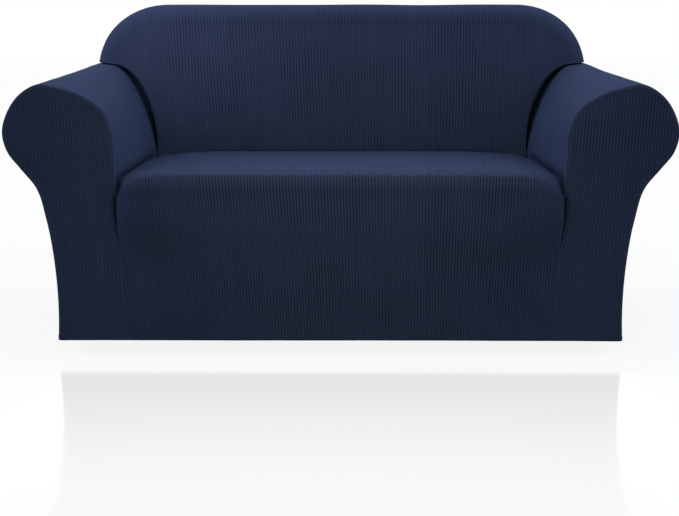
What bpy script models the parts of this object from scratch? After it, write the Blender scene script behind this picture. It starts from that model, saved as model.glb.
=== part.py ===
"""Fitted stretch cover for a two-seat sofa with rolled arms, in the shape it takes pulled on.

Seven cut panels of ribbed knit, each one closed sheet: inside back, outside back, seat with its
apron, two arm covers and two arm fronts. X runs to the right seen from the front, Y to the rear
and Z up. Heights in the tables are above the floor the sofa stands on. The parent empty then
moves all panels together, so that the origin lies under the top of the back, on the centre line.

Each panel is a grid of points on its outer skin. The inner skin lies one sheet thickness behind
it. Where panels meet in a crease, both edges turn in and run on side by side for a short way, as
cloth tucked into a sofa does. Where they meet on a flat face, they lie edge to edge.
"""

import bmesh
import bpy
import numpy as np

# Cloth
SHEET = 0.0025
SEAM_GAP = 0.0003
CREASE_GAP = 0.0010
FOOT_GAP = 0.0020
HEM_HEIGHT = 0.020
HEM_LAYERS = 2
HEM_RAMP = 0.002
KNIT_COLOUR = (0.0160, 0.0225, 0.0480, 1.0)
KNIT_ROUGHNESS = 0.85

# Whole cover
HEM_Z = 0.036
DEPTH = 0.860
FRONT_EDGE = 0.010
REAR_EDGE = 0.010
LIP = 0.004
LIP_AT_CREASE = 0.2

# Creases: how deep the cloth is tucked, and how softly its edge turns in
TUCK = 0.012
TUCK_AT_REAR = 0.004
ARM_STRIP = 0.020
BACK_TURN = 0.020
BACK_TURN_AT_REAR = 0.007
SEAT_TURN = 0.012
SEAT_REAR_Y = 0.6095
ARM_FRONT_TURN = 0.006
ARM_FRONT_TURN_AT_SHOULDER = 0.0006

# Back
BACK_TOP_Z = 0.900
BACK_HALF_WIDTH = 0.744
BACK_CORNER_WIDTH = 0.212
BACK_CORNER_HEIGHT = 0.200
BACK_CORNER_POWER = 2.1
BACK_EDGE_RADIUS = 0.055
BACK_LEAN = 0.20
BACK_CROWN = 0.022
BACK_CROWN_POWER = 4
BACK_SWELL_AT_CREASE = 0.7
BACK_SWELL_AT_TOP = 1.9
BACK_EDGE_SHARE = 0.7
JOINT_Z = 0.7245

# Crease between back and seat, and the curve in which each arm meets the back
CREASE_Y = 0.600
CREASE_HALF_WIDTH = 0.5515
CREASE_MID_Z = 0.465
CREASE_SIDE_Z = 0.4525
CREASE_POWER = 6
ARM_LINE_POWER = 1.5

# Outline of an arm seen from the front, from the seat crease over the roll to the hem
ARM_FRONT = (
    ("row", "x", "z"),
    ("crease", 0.560, 0.445),
    ("wall", 0.5635, 0.510),
    ("shoulder", 0.5675, 0.572),
    ("haunch", 0.588, 0.624),
    ("crest_in", 0.640, 0.662),
    ("top", 0.705, 0.684),
    ("joint", 0.748, 0.689),
    ("crest_out", 0.790, 0.6685),
    ("roll_out", 0.828, 0.621),
    ("widest", 0.8435, 0.567),
    ("roll_under", 0.833, 0.522),
    ("slope", 0.802, 0.480),
    ("neck", 0.765, 0.432),
    ("waist", 0.743, 0.350),
    ("skirt", 0.7265, 0.2225),
    ("hem", 0.727, HEM_Z),
)

# The same arm at the rear seam, where only its outer half is left beside the back
ARM_REAR = (
    ("row", "x", "z"),
    ("joint", BACK_HALF_WIDTH, JOINT_Z),
    ("crest_out", 0.783, 0.710),
    ("roll_out", 0.812, 0.668),
    ("widest", 0.825, 0.620),
    ("roll_under", 0.814, 0.574),
    ("slope", 0.786, 0.530),
    ("neck", 0.757, 0.478),
    ("waist", 0.738, 0.370),
    ("skirt", 0.7225, 0.2225),
    ("hem", 0.720, HEM_Z),
)

# Seat and apron from the rear crease to the hem: the line down the middle and the side seam.
# turn is the angle at which the side edge dives, from straight down (0) to straight back (90).
SEAT = (
    ("row", "mid_y", "mid_z", "seam_x", "side_y", "side_z", "turn", "tuck", "power"),
    ("rear_tuck", SEAT_REAR_Y, CREASE_MID_Z, 0.5700, SEAT_REAR_Y, CREASE_SIDE_Z, 0, 1, 6),
    ("rear", CREASE_Y, CREASE_MID_Z, 0.5700, CREASE_Y, CREASE_SIDE_Z, 0, 1, 6),
    ("deck", 0.300, 0.473, 0.5700, 0.300, 0.4490, 0, 1, 12),
    ("deck_front", 0.060, 0.4755, 0.5700, 0.060, 0.4380, 0, 1, 18),
    ("edge_top", -0.012, 0.4745, 0.5700, 0.0120, 0.4310, 10, 1, 24),
    ("edge", -0.0285, 0.4680, 0.5700, 0.0030, 0.4180, 45, 1, 26),
    ("edge_front", -0.0345, 0.4520, 0.5700, 0.0, 0.4020, 80, 1, 28),
    ("knee", -0.0340, 0.4020, 0.5700, 0.0, 0.3780, 90, 1, 22),
    ("groove_low", -0.0290, 0.330, 0.5680, 0.0, 0.3300, 90, 0.9, 12),
    ("groove_end", -0.0210, 0.265, 0.5560, 0.0, 0.2650, 90, 0, 6),
    ("shin", -0.0090, 0.140, 0.5490, 0.0, 0.1400, 90, 0, 4),
    ("hem", 0.0, HEM_Z, 0.5450, 0.0, HEM_Z, 90, 0, 4),
)

# Where the cover hangs on its sofa: under the top of the back, on the centre line
HELD_AT = (0.0, 0.770, BACK_TOP_Z - SHEET)


def column(table, name):
    """One named column of a table, as an array."""
    index = table[0].index(name)
    return np.array([row[index] for row in table[1:]])


def row_number(table, name):
    """Number of a named row, counted from 0 below the head."""
    return [row[0] for row in table[1:]].index(name)


def row_above_hem(table, heights, height):
    """Fractional number of the row that lies at a height above the lower edge."""
    above, hem = column(table, heights)[-2:]
    return row_number(table, "hem") - height / (above - hem)


def tangents(points, lengths, carried):
    """Slope per unit length at each point of a line (or grid of lines along the first axis).

    It is the distance-weighted mean of the slopes on either side. At the ends the bend is
    carried on by a share of 1, or left out with a share of 0.
    """
    slopes = np.diff(points, axis=0) / lengths
    reach = lengths[1:] + lengths[:-1]
    inner = (slopes[:-1] * lengths[1:] + slopes[1:] * lengths[:-1]) / reach
    first = slopes[:1] + carried * (slopes[:1] - slopes[1:2]) * lengths[:1] / reach[:1]
    last = slopes[-1:] + carried * (slopes[-1:] - slopes[-2:-1]) * lengths[-1:] / reach[-1:]
    return np.concatenate([first, inner, last])


def distances(points):
    """Distance from each point of a line to the next."""
    return np.linalg.norm(np.diff(points, axis=0), axis=-1, keepdims=True)


def smooth_curve(points, at, lengths=None):
    """Smooth curve through all points, read at fractional point numbers.

    Between two points it is a cubic that leaves and meets them at their tangents.
    """
    lengths = distances(points) if lengths is None else lengths
    slopes = tangents(points, lengths, 1)
    first = np.clip(np.floor(at).astype(int), 0, len(points) - 2)
    t = (at - first)[:, None]
    reach = lengths[first]
    return (
        (2 * t**3 - 3 * t**2 + 1) * points[first]
        + (t**3 - 2 * t**2 + t) * reach * slopes[first]
        + (3 * t**2 - 2 * t**3) * points[first + 1]
        + (t**3 - t**2) * reach * slopes[first + 1]
    )


# Where the grids are cut: numbers of table rows, finer where the cloth bends. Single cloth ends
# on the rows HEM_TOP and the double layer is full on the rows HEM_FULL.
ARM_TOP = row_number(ARM_FRONT, "top")
ARM_JOINT = row_number(ARM_FRONT, "joint")
ARM_HEM = row_number(ARM_FRONT, "hem")
ARM_HEM_TOP = row_above_hem(ARM_FRONT, "z", HEM_HEIGHT)
ARM_HEM_FULL = row_above_hem(ARM_FRONT, "z", HEM_HEIGHT - HEM_RAMP)
SEAT_FACE = row_number(SEAT, "edge_front")
SEAT_HEM = row_number(SEAT, "hem")
SEAT_HEM_TOP = row_above_hem(SEAT, "mid_z", HEM_HEIGHT)
SEAT_HEM_FULL = row_above_hem(SEAT, "mid_z", HEM_HEIGHT - HEM_RAMP)
ARM_STEPS = np.concatenate(
    [
        np.linspace(0, ARM_TOP, 10),
        np.linspace(ARM_TOP, ARM_JOINT, 7)[1:],
        np.linspace(ARM_JOINT, ARM_HEM_TOP, 15)[1:],
        [ARM_HEM_FULL, ARM_HEM],
    ]
)
SEAT_STEPS = np.concatenate(
    [
        [0, 1, 1.5, 2, 2.5, 3, 3.6, 4, 4.33, 4.67, 5, 5.33, 5.67],
        np.linspace(SEAT_FACE, SEAT_HEM_TOP, 9),
        [SEAT_HEM_FULL, SEAT_HEM],
    ]
)
TURN_STEPS = np.linspace(0, 1, 4)
TOP_COLUMNS = np.linspace(0, 1, 6)
CORNER_COLUMNS = np.linspace(1, 2, 8)
JOINT_COLUMN = 1.975
REAR_COLUMNS = np.linspace(-1, 1, 11)
SEAT_COLUMNS = np.append(np.linspace(0, 0.88, 8), [0.92, 0.95, 0.966])
ARM_COLUMNS = np.linspace(0, 1, 7)
SHOULDER_STEP = 6
EDGE_TURN = np.radians([0, 30, 60])
QUARTER_TURN = np.radians([30, 60, 90])
SHARP_ANGLE = np.radians(50)

# Steps in outline position and in row number over which a slope is taken
U_STEP = 0.02
ROW_STEP = 0.02


# ---------------------------------------------------------------- back


def outline_share(u):
    """Share of the outline's length up to column number u: 0 to 1 the top, 1 to 2 the corner."""
    straight = BACK_HALF_WIDTH - BACK_CORNER_WIDTH
    corner = np.pi / 4 * (BACK_CORNER_WIDTH + BACK_CORNER_HEIGHT)
    length = np.minimum(u, 1) * straight + np.maximum(u - 1, 0) * corner
    return length / (straight + corner)


def back_outline(u):
    """Outline of the back seen from the front, and its outward normal, for u from 0 to 2.

    It is straight along the top, then a rounded corner of BACK_CORNER_POWER, down to the
    joint with the arm.
    """
    straight = BACK_HALF_WIDTH - BACK_CORNER_WIDTH
    bend = np.maximum(u - 1, 0)
    foot = BACK_TOP_Z - BACK_CORNER_HEIGHT
    joint_sine = ((JOINT_Z - foot) / BACK_CORNER_HEIGHT) ** (BACK_CORNER_POWER / 2)
    angle = np.pi / 2 - bend * (np.pi / 2 - np.arcsin(joint_sine))
    across = np.maximum(np.cos(angle), 0) ** (2 / BACK_CORNER_POWER)
    up = np.sin(angle) ** (2 / BACK_CORNER_POWER)
    x = straight * np.minimum(u, 1) + BACK_CORNER_WIDTH * across
    z = foot + BACK_CORNER_HEIGHT * up
    slope = BACK_CORNER_POWER - 1
    normal = np.stack([across**slope / BACK_CORNER_WIDTH, up**slope / BACK_CORNER_HEIGHT], -1)
    return np.stack([x, z], -1), normal / np.linalg.norm(normal, axis=-1, keepdims=True)


def crease_z(share):
    """Height of the crease between back and seat, lower near its ends."""
    drop = CREASE_MID_Z - CREASE_SIDE_Z
    return CREASE_MID_Z - drop * np.abs(share) ** CREASE_POWER


def back_face_y(x, z):
    """Front of the back: it leans to the rear and is crowned towards its middle."""
    rise = np.clip((z - CREASE_MID_Z) / (BACK_TOP_Z - CREASE_MID_Z), 0, 1)
    middle = 1 - np.abs(x / BACK_HALF_WIDTH) ** BACK_CROWN_POWER
    power = BACK_SWELL_AT_CREASE + (BACK_SWELL_AT_TOP - BACK_SWELL_AT_CREASE) * rise**2
    lean = BACK_LEAN * (z - CREASE_MID_Z)
    return CREASE_Y + lean - BACK_CROWN * middle * np.sin(np.pi * rise) ** power


def back_skin(u, row):
    """Points of the inside back and their outward normals' X and Y shares.

    u runs from 0 at the middle to 2 at the arm. Rows 0 to ARM_TOP climb the front face from
    the crease to the rounded edge, in a quarter of a rounded square, so that the column at
    the arm follows the line in which arm and back meet. Rows up to ARM_JOINT go round the
    edge and along the top or side to the rear seam.
    """
    outline, normal = back_outline(u)
    inner = outline - BACK_EDGE_RADIUS * normal
    share = outline_share(u)
    foot_x = CREASE_HALF_WIDTH * share
    foot_z = crease_z(share)
    angle = np.clip(row / ARM_TOP, 0, 1) * np.pi / 2
    across = 1 - np.clip(np.cos(angle), 0, 1) ** (2 / ARM_LINE_POWER)
    up = np.sin(angle) ** (2 / ARM_LINE_POWER)
    x = foot_x + (inner[..., 0] - foot_x) * across
    z = foot_z + (inner[..., 1] - foot_z) * up
    y = back_face_y(x, z)
    beyond = np.clip(row - ARM_TOP, 0, 1)
    turn = np.clip(beyond / BACK_EDGE_SHARE, 0, 1) * np.pi / 2
    along = np.clip((beyond - BACK_EDGE_SHARE) / (1 - BACK_EDGE_SHARE), 0, 1)
    x = x + BACK_EDGE_RADIUS * normal[..., 0] * np.sin(turn)
    z = z + BACK_EDGE_RADIUS * normal[..., 1] * np.sin(turn)
    leaning = BACK_LEAN * normal[..., 1] * np.sin(turn)
    y = y + BACK_EDGE_RADIUS * (1 - np.cos(turn) + leaning)
    y = y + (DEPTH - REAR_EDGE - y) * along
    return np.stack([x, y, z], -1), turn


def tuck_depth(row):
    """How deep the edge is tucked between arm and back, less along the side to the rear."""
    return TUCK + (TUCK_AT_REAR - TUCK) * np.clip(row - ARM_TOP, 0, 1)


def arm_line(row):
    """The line in which the arm meets the back, and the way its cloth dives behind it."""
    points, turn = back_skin(np.full(len(row), 2.0), row)
    dive = np.stack([-np.sin(turn), np.cos(turn), np.zeros(len(row))], -1)
    return points, dive * tuck_depth(row)[:, None]


def inside_back():
    """Outer skin of the inside back."""
    outline_steps = np.concatenate([TOP_COLUMNS, CORNER_COLUMNS[1:-1]])
    rows = ARM_STEPS[ARM_STEPS <= ARM_JOINT]
    turned = np.clip(rows - ARM_TOP, 0, 1)
    radius = BACK_TURN + (BACK_TURN_AT_REAR - BACK_TURN) * turned
    line, dive = arm_line(rows)
    before, _ = back_skin(np.full(len(rows), 2 - U_STEP), rows)
    pace = np.linalg.norm(line - before, axis=-1) / U_STEP
    half = [back_skin(np.full(len(rows), u), rows)[0] for u in outline_steps]
    for t in TURN_STEPS:
        from_edge = radius * (1 - t) ** 2 + CREASE_GAP
        half.append(back_skin(2 - from_edge / pace, rows)[0] + dive * t**2)
    half = np.stack(half, 1)

    # The lower edge turns in over the seat: rows 0 and 1 of the face give way to its turn.
    side_edge = radius[0] * (1 - TURN_STEPS) ** 2 + CREASE_GAP
    columns = np.append(outline_steps, 2 - side_edge / pace[0])
    side_dive = np.append(np.zeros(len(outline_steps)), TURN_STEPS**2)
    outline, normal = back_outline(columns)
    inner = outline - BACK_EDGE_RADIUS * normal
    rise = inner[:, 1] - crease_z(outline_share(columns))
    low = []
    for t in TURN_STEPS[::-1]:
        height = BACK_TURN * (1 - t) ** 2 + CREASE_GAP
        angle = np.arcsin((height / rise) ** (ARM_LINE_POWER / 2))
        points, _ = back_skin(columns, angle / (np.pi / 2) * ARM_TOP)
        points[:, 1] += TUCK * np.maximum(t**2, side_dive) + CREASE_GAP * t
        points[:, 2] -= TUCK * t**2 * side_dive**2
        low.append(points)
    low = np.stack(low)

    # The rear edge rounds into the plane of the rear seam and ends in a flat lip.
    corner = normal + np.stack([np.zeros(len(side_dive)), side_dive], -1)
    last = half[-1]
    rear = []
    for angle in QUARTER_TURN:
        inset = REAR_EDGE * (1 - np.cos(angle))
        rear.append(set_in(last, corner, inset, DEPTH - REAR_EDGE * (1 - np.sin(angle))))
    rear.append(set_in(last, corner, REAR_EDGE + LIP, DEPTH))
    right = np.concatenate([low, half[1:], np.stack(rear)])
    left = right[:, :0:-1] * (-1, 1, 1)
    return np.concatenate([left, right], axis=1)


def set_in(points, normal, inset, y):
    """Points moved back along their outline's normal in X and Z, and set at depth y."""
    moved = points.copy()
    moved[:, 0] -= normal[:, 0] * inset
    moved[:, 2] -= normal[:, 1] * inset
    moved[:, 1] = y
    return moved


# ---------------------------------------------------------------- arms


def section(table, at):
    """An arm's outline from a table, and its outward normals, at row numbers of ARM_FRONT."""
    first = row_number(ARM_FRONT, table[1][0])
    points = np.stack([column(table, "x"), column(table, "z")], -1)
    curve = smooth_curve(points, at - first)
    ahead = smooth_curve(points, np.minimum(at - first + ROW_STEP, len(points) - 1))
    behind = smooth_curve(points, np.maximum(at - first - ROW_STEP, 0))
    along = ahead - behind
    normal = np.stack([-along[:, 1], along[:, 0]], -1)
    return curve, normal / np.linalg.norm(normal, axis=1, keepdims=True)


def front_lip(row):
    """Width of the flat lip on the arm's face, which narrows towards the seat crease."""
    return LIP * np.clip(row, LIP_AT_CREASE, 1)


def rear_section(row):
    """The arm's outline at the rear seam, with a mitred normal at the joint with the back."""
    points, normal = section(ARM_REAR, row)
    normal[row == ARM_JOINT] = (1.0, 1.0)
    return points, normal


def arm_cover():
    """Outer skin of the right arm cover: straight lines from its face to the rear."""
    rows = ARM_STEPS
    front, normal = section(ARM_FRONT, rows)
    start = np.stack([front[:, 0], np.full(len(rows), FRONT_EDGE), front[:, 1]], -1)
    inner = rows <= ARM_JOINT
    rear = np.zeros_like(start)
    dive = np.zeros_like(start)
    rear[inner], dive[inner] = arm_line(rows[inner])
    outer = ~inner | (rows == ARM_JOINT)
    rear_points, rear_normal = rear_section(rows[outer])
    rear[outer, 0] = rear_points[:, 0]
    rear[outer, 1] = DEPTH - REAR_EDGE
    rear[outer, 2] = rear_points[:, 1]
    rounding = np.zeros((len(rows), 2))
    rounding[outer] = rear_normal

    lip = FRONT_EDGE + front_lip(rows)[:, None]
    columns = [np.insert(front - normal * lip, 1, 0.0, axis=1)]
    for angle in EDGE_TURN:
        inset = FRONT_EDGE * (1 - np.sin(angle))
        depth = FRONT_EDGE * (1 - np.cos(angle))
        columns.append(np.insert(front - normal * inset, 1, depth, axis=1))
    for share in ARM_COLUMNS:
        columns.append(start + (rear - start) * share)
    for step, angle in enumerate(np.append(QUARTER_TURN, np.pi / 2)):
        is_lip = step == len(QUARTER_TURN)
        inset = REAR_EDGE * (1 - np.cos(angle)) + LIP * is_lip
        points = rear + dive * (step + 1) / (len(QUARTER_TURN) + 1)
        points[:, 0] -= rounding[:, 0] * inset
        points[:, 2] -= rounding[:, 1] * inset
        points[outer, 1] = DEPTH - REAR_EDGE * (1 - np.sin(angle))
        columns.append(points)
    skin = np.stack(columns, axis=1)
    below = skin[0] - (0, 0, ARM_STRIP)
    _, seat_side, _, _ = seat_lines(np.arange(SEAT_FACE, 0, -1))
    seam_z = np.interp(below[:, 1], seat_side[:, 1], seat_side[:, 2]) + FOOT_GAP
    rounded = below[:, 1] < FRONT_EDGE
    below[rounded, 2] = seam_z[rounded]
    below[0, 0] = below[1, 0] + SEAM_GAP
    return np.concatenate([below[None], skin])


def arm_foot_x(y):
    """X of the arm cover's skin along the seat crease, round its front edge to the face."""
    front_x = column(ARM_FRONT, "x")[0]
    back = np.maximum(y - FRONT_EDGE, 0)
    line = front_x + (CREASE_HALF_WIDTH - front_x) * back / (CREASE_Y - FRONT_EDGE)
    ahead = np.clip(FRONT_EDGE - y, 0, FRONT_EDGE)
    return line + FRONT_EDGE - np.sqrt(FRONT_EDGE**2 - ahead**2)


# ---------------------------------------------------------------- seat and apron


def seat_lines(at):
    """The seat's middle line, side seam, dive and power at fractional row numbers."""
    names = SEAT[0][1:]
    rows = np.stack([column(SEAT, name) for name in names], -1)
    values = smooth_curve(rows, at, distances(rows[:, :2]))
    found = dict(zip(names, values.T))
    middle = np.stack([found["mid_y"], found["mid_z"]], -1)
    side_y = np.where(at < SEAT_FACE, np.maximum(found["side_y"], 0), 0)
    side_x = np.minimum(arm_foot_x(side_y), found["seam_x"]) - SEAM_GAP
    side = np.stack([side_x, side_y, found["side_z"]], -1)
    turn = np.radians(np.clip(found["turn"], 0, 90))
    depth = TUCK * np.clip(found["tuck"], 0, 1)
    dive = np.stack([0 * turn, np.sin(turn), -np.cos(turn)], -1) * depth[:, None]
    return middle, side, dive, found["power"]


def seat_apron():
    """Outer skin of the seat and apron, crowned from its side seams to its middle line."""
    middle, side, dive, power = seat_lines(SEAT_STEPS)
    half = []
    for share in SEAT_COLUMNS:
        half.append(seat_column(middle, side, power, np.full(len(side), share)))
    for t in TURN_STEPS:
        share = 1 - SEAT_TURN * (1 - t) ** 2 / side[:, 0]
        half.append(seat_column(middle, side, power, share) + dive * t**2)
    half = np.stack(half, 1)
    return np.concatenate([half[:, :0:-1] * (-1, 1, 1), half], axis=1)


def seat_column(middle, side, power, share):
    """One column of the seat, share being its way from the middle, 0, to the seam, 1."""
    crown = (1 - np.abs(share) ** power)[:, None]
    yz = side[:, 1:] + (middle - side[:, 1:]) * crown
    return np.insert(yz, 0, side[:, 0] * share, axis=1)


# ---------------------------------------------------------------- flat panels


def blended_patch(left, right, bottom, top):
    """Points inside four boundary curves: across plus up, less the blend of the corners.

    The way up is squared, so that the rows near the bottom keep level.
    """
    v = np.linspace(0, 1, len(left))[:, None, None] ** 2
    u = np.linspace(0, 1, len(bottom))[None, :, None]
    across = left[:, None] * (1 - u) + right[:, None] * u
    up = bottom[None] * (1 - v) + top[None] * v
    low = bottom[None, :1] * (1 - u) + bottom[None, -1:] * u
    high = top[None, :1] * (1 - u) + top[None, -1:] * u
    return across + up - low * (1 - v) - high * v


def spread_between(start, end, shares):
    """Points on the straight line from start to end."""
    return start + (end - start) * shares[:, None]


def arm_front():
    """Outer skin of the right arm's face, flush with the arm cover, turned in at the seat."""
    face_steps = SEAT_STEPS[SEAT_STEPS >= SEAT_FACE][::-1]
    _, side, dive, _ = seat_lines(face_steps)
    low = side[:, [0, 2]] + (2 * SEAM_GAP, 0)
    front, normal = section(ARM_FRONT, ARM_STEPS)
    edge = front - normal * (FRONT_EDGE + front_lip(ARM_STEPS) + SEAM_GAP)[:, None]
    high = SHOULDER_STEP + 1
    inner = np.concatenate([low, edge[:high]])
    into = np.concatenate([np.tile((1.0, 0.0), (len(low), 1)), -normal[:high]])
    narrowing = np.linspace(ARM_FRONT_TURN, ARM_FRONT_TURN_AT_SHOULDER, high)
    into *= np.append(np.full(len(low), ARM_FRONT_TURN), narrowing)[:, None]
    outer = edge[::-1][: len(inner)]
    depth = np.concatenate([dive[:, 1], np.zeros(high)])

    left = inner + into
    top = edge[SHOULDER_STEP : len(edge) - len(inner) + 1].copy()
    top[0] = left[-1]
    bottom = spread_between(left[0], outer[0], np.linspace(0, 1, len(top)))
    patch = blended_patch(left, outer, bottom, top)
    turned = []
    for t in TURN_STEPS[:0:-1]:
        points = inner + into * (1 - t) ** 2
        turned.append(np.insert(points, 1, depth * t**2, axis=1))
    flat = np.insert(patch, 1, 0.0, axis=2)
    return np.concatenate([np.stack(turned, 1), flat], axis=1)


def outside_back():
    """Outer skin of the outside back: level rows inside the outlines of the arms and the back."""
    inset = REAR_EDGE + LIP + SEAM_GAP
    arm_rows = ARM_STEPS[ARM_STEPS >= ARM_JOINT][::-1]
    arm, arm_normal = rear_section(arm_rows)
    corner, corner_normal = back_outline(np.append(CORNER_COLUMNS[:-1], JOINT_COLUMN)[::-1])
    side = np.concatenate([arm - arm_normal * inset, corner - corner_normal * inset])
    side[len(arm) - 1] -= (TUCK_AT_REAR + 2 * CREASE_GAP, CREASE_GAP)
    across = side[:, :1] * REAR_COLUMNS
    up = np.repeat(side[:, 1:], len(REAR_COLUMNS), axis=1)
    return np.stack([across, np.full_like(across, DEPTH), up], -1)


# ---------------------------------------------------------------- sheets


def skin_normals(skin, outward):
    """Unit normal at each grid point, on the side that outward points to in the middle."""
    turned = skin.swapaxes(0, 1)
    down = tangents(skin, distances(skin), 0)
    across = tangents(turned, distances(turned), 0).swapaxes(0, 1)
    normal = np.cross(down, across)
    normal /= np.linalg.norm(normal, axis=-1, keepdims=True)
    middle = normal[skin.shape[0] // 2, skin.shape[1] // 2]
    return normal * np.sign(middle @ np.array(outward, float))


def thickness(skin):
    """Sheet thickness at each point: the turned-up hem has HEM_LAYERS layers."""
    in_hem = skin[..., 2] < HEM_Z + HEM_HEIGHT - HEM_RAMP / 2
    return np.where(in_hem, SHEET * HEM_LAYERS, SHEET)[..., None]


def knit(name):
    """Material of one panel."""
    material = bpy.data.materials.new(name + "_knit")
    material.use_nodes = True
    shader = material.node_tree.nodes["Principled BSDF"]
    shader.inputs["Base Color"].default_value = KNIT_COLOUR
    shader.inputs["Roughness"].default_value = KNIT_ROUGHNESS
    shader.inputs["Metallic"].default_value = 0.0
    material.diffuse_color = KNIT_COLOUR
    return material


def sheet(name, skin, outward, parent):
    """Closed sheet of cloth behind the grid of its outer skin, as one object."""
    inner = skin - skin_normals(skin, outward) * thickness(skin)
    rows, columns = skin.shape[:2]
    mesh = bmesh.new()
    front = [mesh.verts.new(point) for point in skin.reshape(-1, 3)]
    behind = [mesh.verts.new(point) for point in inner.reshape(-1, 3)]
    for i in range(rows - 1):
        for j in range(columns - 1):
            a, b = i * columns + j, i * columns + j + 1
            c, d = b + columns, a + columns
            mesh.faces.new((front[a], front[b], front[c], front[d]))
            mesh.faces.new((behind[d], behind[c], behind[b], behind[a]))
    rim = list(range(columns))
    rim += [i * columns + columns - 1 for i in range(1, rows)]
    rim += [(rows - 1) * columns + j for j in range(columns - 2, -1, -1)]
    rim += [i * columns for i in range(rows - 2, 0, -1)]
    for a, b in zip(rim, rim[1:] + rim[:1]):
        mesh.faces.new((front[b], front[a], behind[a], behind[b]))
    bmesh.ops.recalc_face_normals(mesh, faces=mesh.faces)
    data = bpy.data.meshes.new(name)
    mesh.to_mesh(data)
    mesh.free()
    data.shade_smooth()
    data.set_sharp_from_angle(angle=SHARP_ANGLE)
    data.materials.append(knit(name))
    panel = bpy.data.objects.new(name, data)
    panel.parent = parent
    bpy.context.scene.collection.objects.link(panel)
    return panel


def build():
    """All seven panels, under one empty that puts the origin where the cover is held."""
    for thing in list(bpy.data.objects):
        bpy.data.objects.remove(thing, do_unlink=True)
    cover = bpy.data.objects.new("slipcover", None)
    cover.location = [-value for value in HELD_AT]
    bpy.context.scene.collection.objects.link(cover)
    sheet("inside_back", inside_back(), (0, -1, 0), cover)
    sheet("outside_back", outside_back(), (0, 1, 0), cover)
    sheet("seat_apron", seat_apron(), (0, -1, 0), cover)
    for side, sign in (("right", 1), ("left", -1)):
        mirror = np.array([sign, 1, 1])
        sheet("arm_cover_" + side, arm_cover() * mirror, (sign * 0.5, 0, 1), cover)
        sheet("arm_front_" + side, arm_front() * mirror, (0, -1, 0), cover)


build()
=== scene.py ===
"""Fitted slipcover of ribbed stretch knit, two seats wide, with rolled arms.

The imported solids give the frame. Seven sewn panels of knit are worked out here as fine surfaces
over the same forms, each one closed sheet, and dressed in a ribbed knit. Lengths are in metres.
The forms are written in floor coordinates, X to the right seen from the front, Y to the rear
from the plane of the arm fronts, Z up from the floor. A panel's points are then moved to the
frame, whose origin lies under the top of the back. Rows of a form are counted by number, and
a fraction lies between two of them.
"""

import logging
import math
from collections.abc import Sequence
from dataclasses import dataclass, replace
from enum import Enum

import bpy
import numpy as np
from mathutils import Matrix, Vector


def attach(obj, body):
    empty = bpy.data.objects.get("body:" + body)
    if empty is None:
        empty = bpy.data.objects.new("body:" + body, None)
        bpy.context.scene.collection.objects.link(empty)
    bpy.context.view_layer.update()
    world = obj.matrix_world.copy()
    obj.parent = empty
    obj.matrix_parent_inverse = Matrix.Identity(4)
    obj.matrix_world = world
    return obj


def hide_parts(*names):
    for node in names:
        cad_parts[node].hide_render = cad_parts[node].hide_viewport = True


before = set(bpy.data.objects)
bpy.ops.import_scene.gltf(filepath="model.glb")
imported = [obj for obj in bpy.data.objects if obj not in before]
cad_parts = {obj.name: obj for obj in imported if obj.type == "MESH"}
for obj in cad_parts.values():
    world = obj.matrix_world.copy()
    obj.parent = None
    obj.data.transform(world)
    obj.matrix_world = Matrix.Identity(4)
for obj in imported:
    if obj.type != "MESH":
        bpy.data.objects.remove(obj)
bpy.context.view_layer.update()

Array = np.ndarray
log = logging.getLogger("slipcover")

BODY = "root"
RIB_DEPTH = "rib_depth"
CLOTH_MAP = "cloth"
HELD_AT = np.array((0.0, 0.770, 0.8975))
MIRRORED = np.array((-1.0, 1.0, 1.0))
PICTURE_WIDTH = 679
ON_FACE = 1e-6
Colour = tuple[float, float, float, float]


class Side(Enum):
    """The two arms, seen from the front."""

    LEFT = -1
    RIGHT = 1

    @property
    def word(self) -> str:
        """Name of the side as it stands in the names of pieces."""
        return self.name.lower()


class Held(Enum):
    """How a sheet of cloth is held."""

    STRETCHED = "stretched"


# ------------------------------------------------------------------ curves and grids


def distances(points: Array) -> Array:
    """Distance from each point along the first axis to the next, with a last axis of 1."""
    return np.linalg.norm(np.diff(points, axis=0), axis=-1, keepdims=True)


def tangents(points: Array, lengths: Array, carried: float) -> Array:
    """Slope per unit length: the distance-weighted mean of the slopes on either side.

    Args:
        points: Points along the first axis.
        lengths: Chord lengths between them.
        carried: Share of the bend that is carried on at the two ends, from 0 to 1.

    Returns:
        One slope for each point.
    """
    slopes = np.diff(points, axis=0) / lengths
    reach = lengths[1:] + lengths[:-1]
    inner = (slopes[:-1] * lengths[1:] + slopes[1:] * lengths[:-1]) / reach
    first = slopes[:1] + carried * (slopes[:1] - slopes[1:2]) * lengths[:1] / reach[:1]
    last = slopes[-1:] + carried * (slopes[-1:] - slopes[-2:-1]) * lengths[-1:] / reach[-1:]
    return np.concatenate([first, inner, last])


def smooth_curve(points: Array, at: Array, lengths: Array | None = None) -> Array:
    """Smooth curve through all points, read at fractional point numbers.

    Between two points it is a cubic that leaves and meets them at their tangents.

    Args:
        points: Points along the first axis.
        at: Fractional point numbers.
        lengths: Chord lengths, when they are not those of the points themselves.

    Returns:
        One point for each number.
    """
    lengths = distances(points) if lengths is None else lengths
    slopes = tangents(points, lengths, 1.0)
    first = np.clip(np.floor(at).astype(int), 0, len(points) - 2)
    t = (at - first)[:, None]
    reach = lengths[first]
    return (
        (2 * t**3 - 3 * t**2 + 1) * points[first]
        + (t**3 - 2 * t**2 + t) * reach * slopes[first]
        + (3 * t**2 - 2 * t**3) * points[first + 1]
        + (t**3 - t**2) * reach * slopes[first + 1]
    )


def run_length(points: Array) -> Array:
    """Length walked along the first axis from 0 up to each point."""
    steps = distances(points)[..., 0]
    return np.concatenate([np.zeros_like(steps[:1]), np.cumsum(steps, axis=0)])


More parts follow.
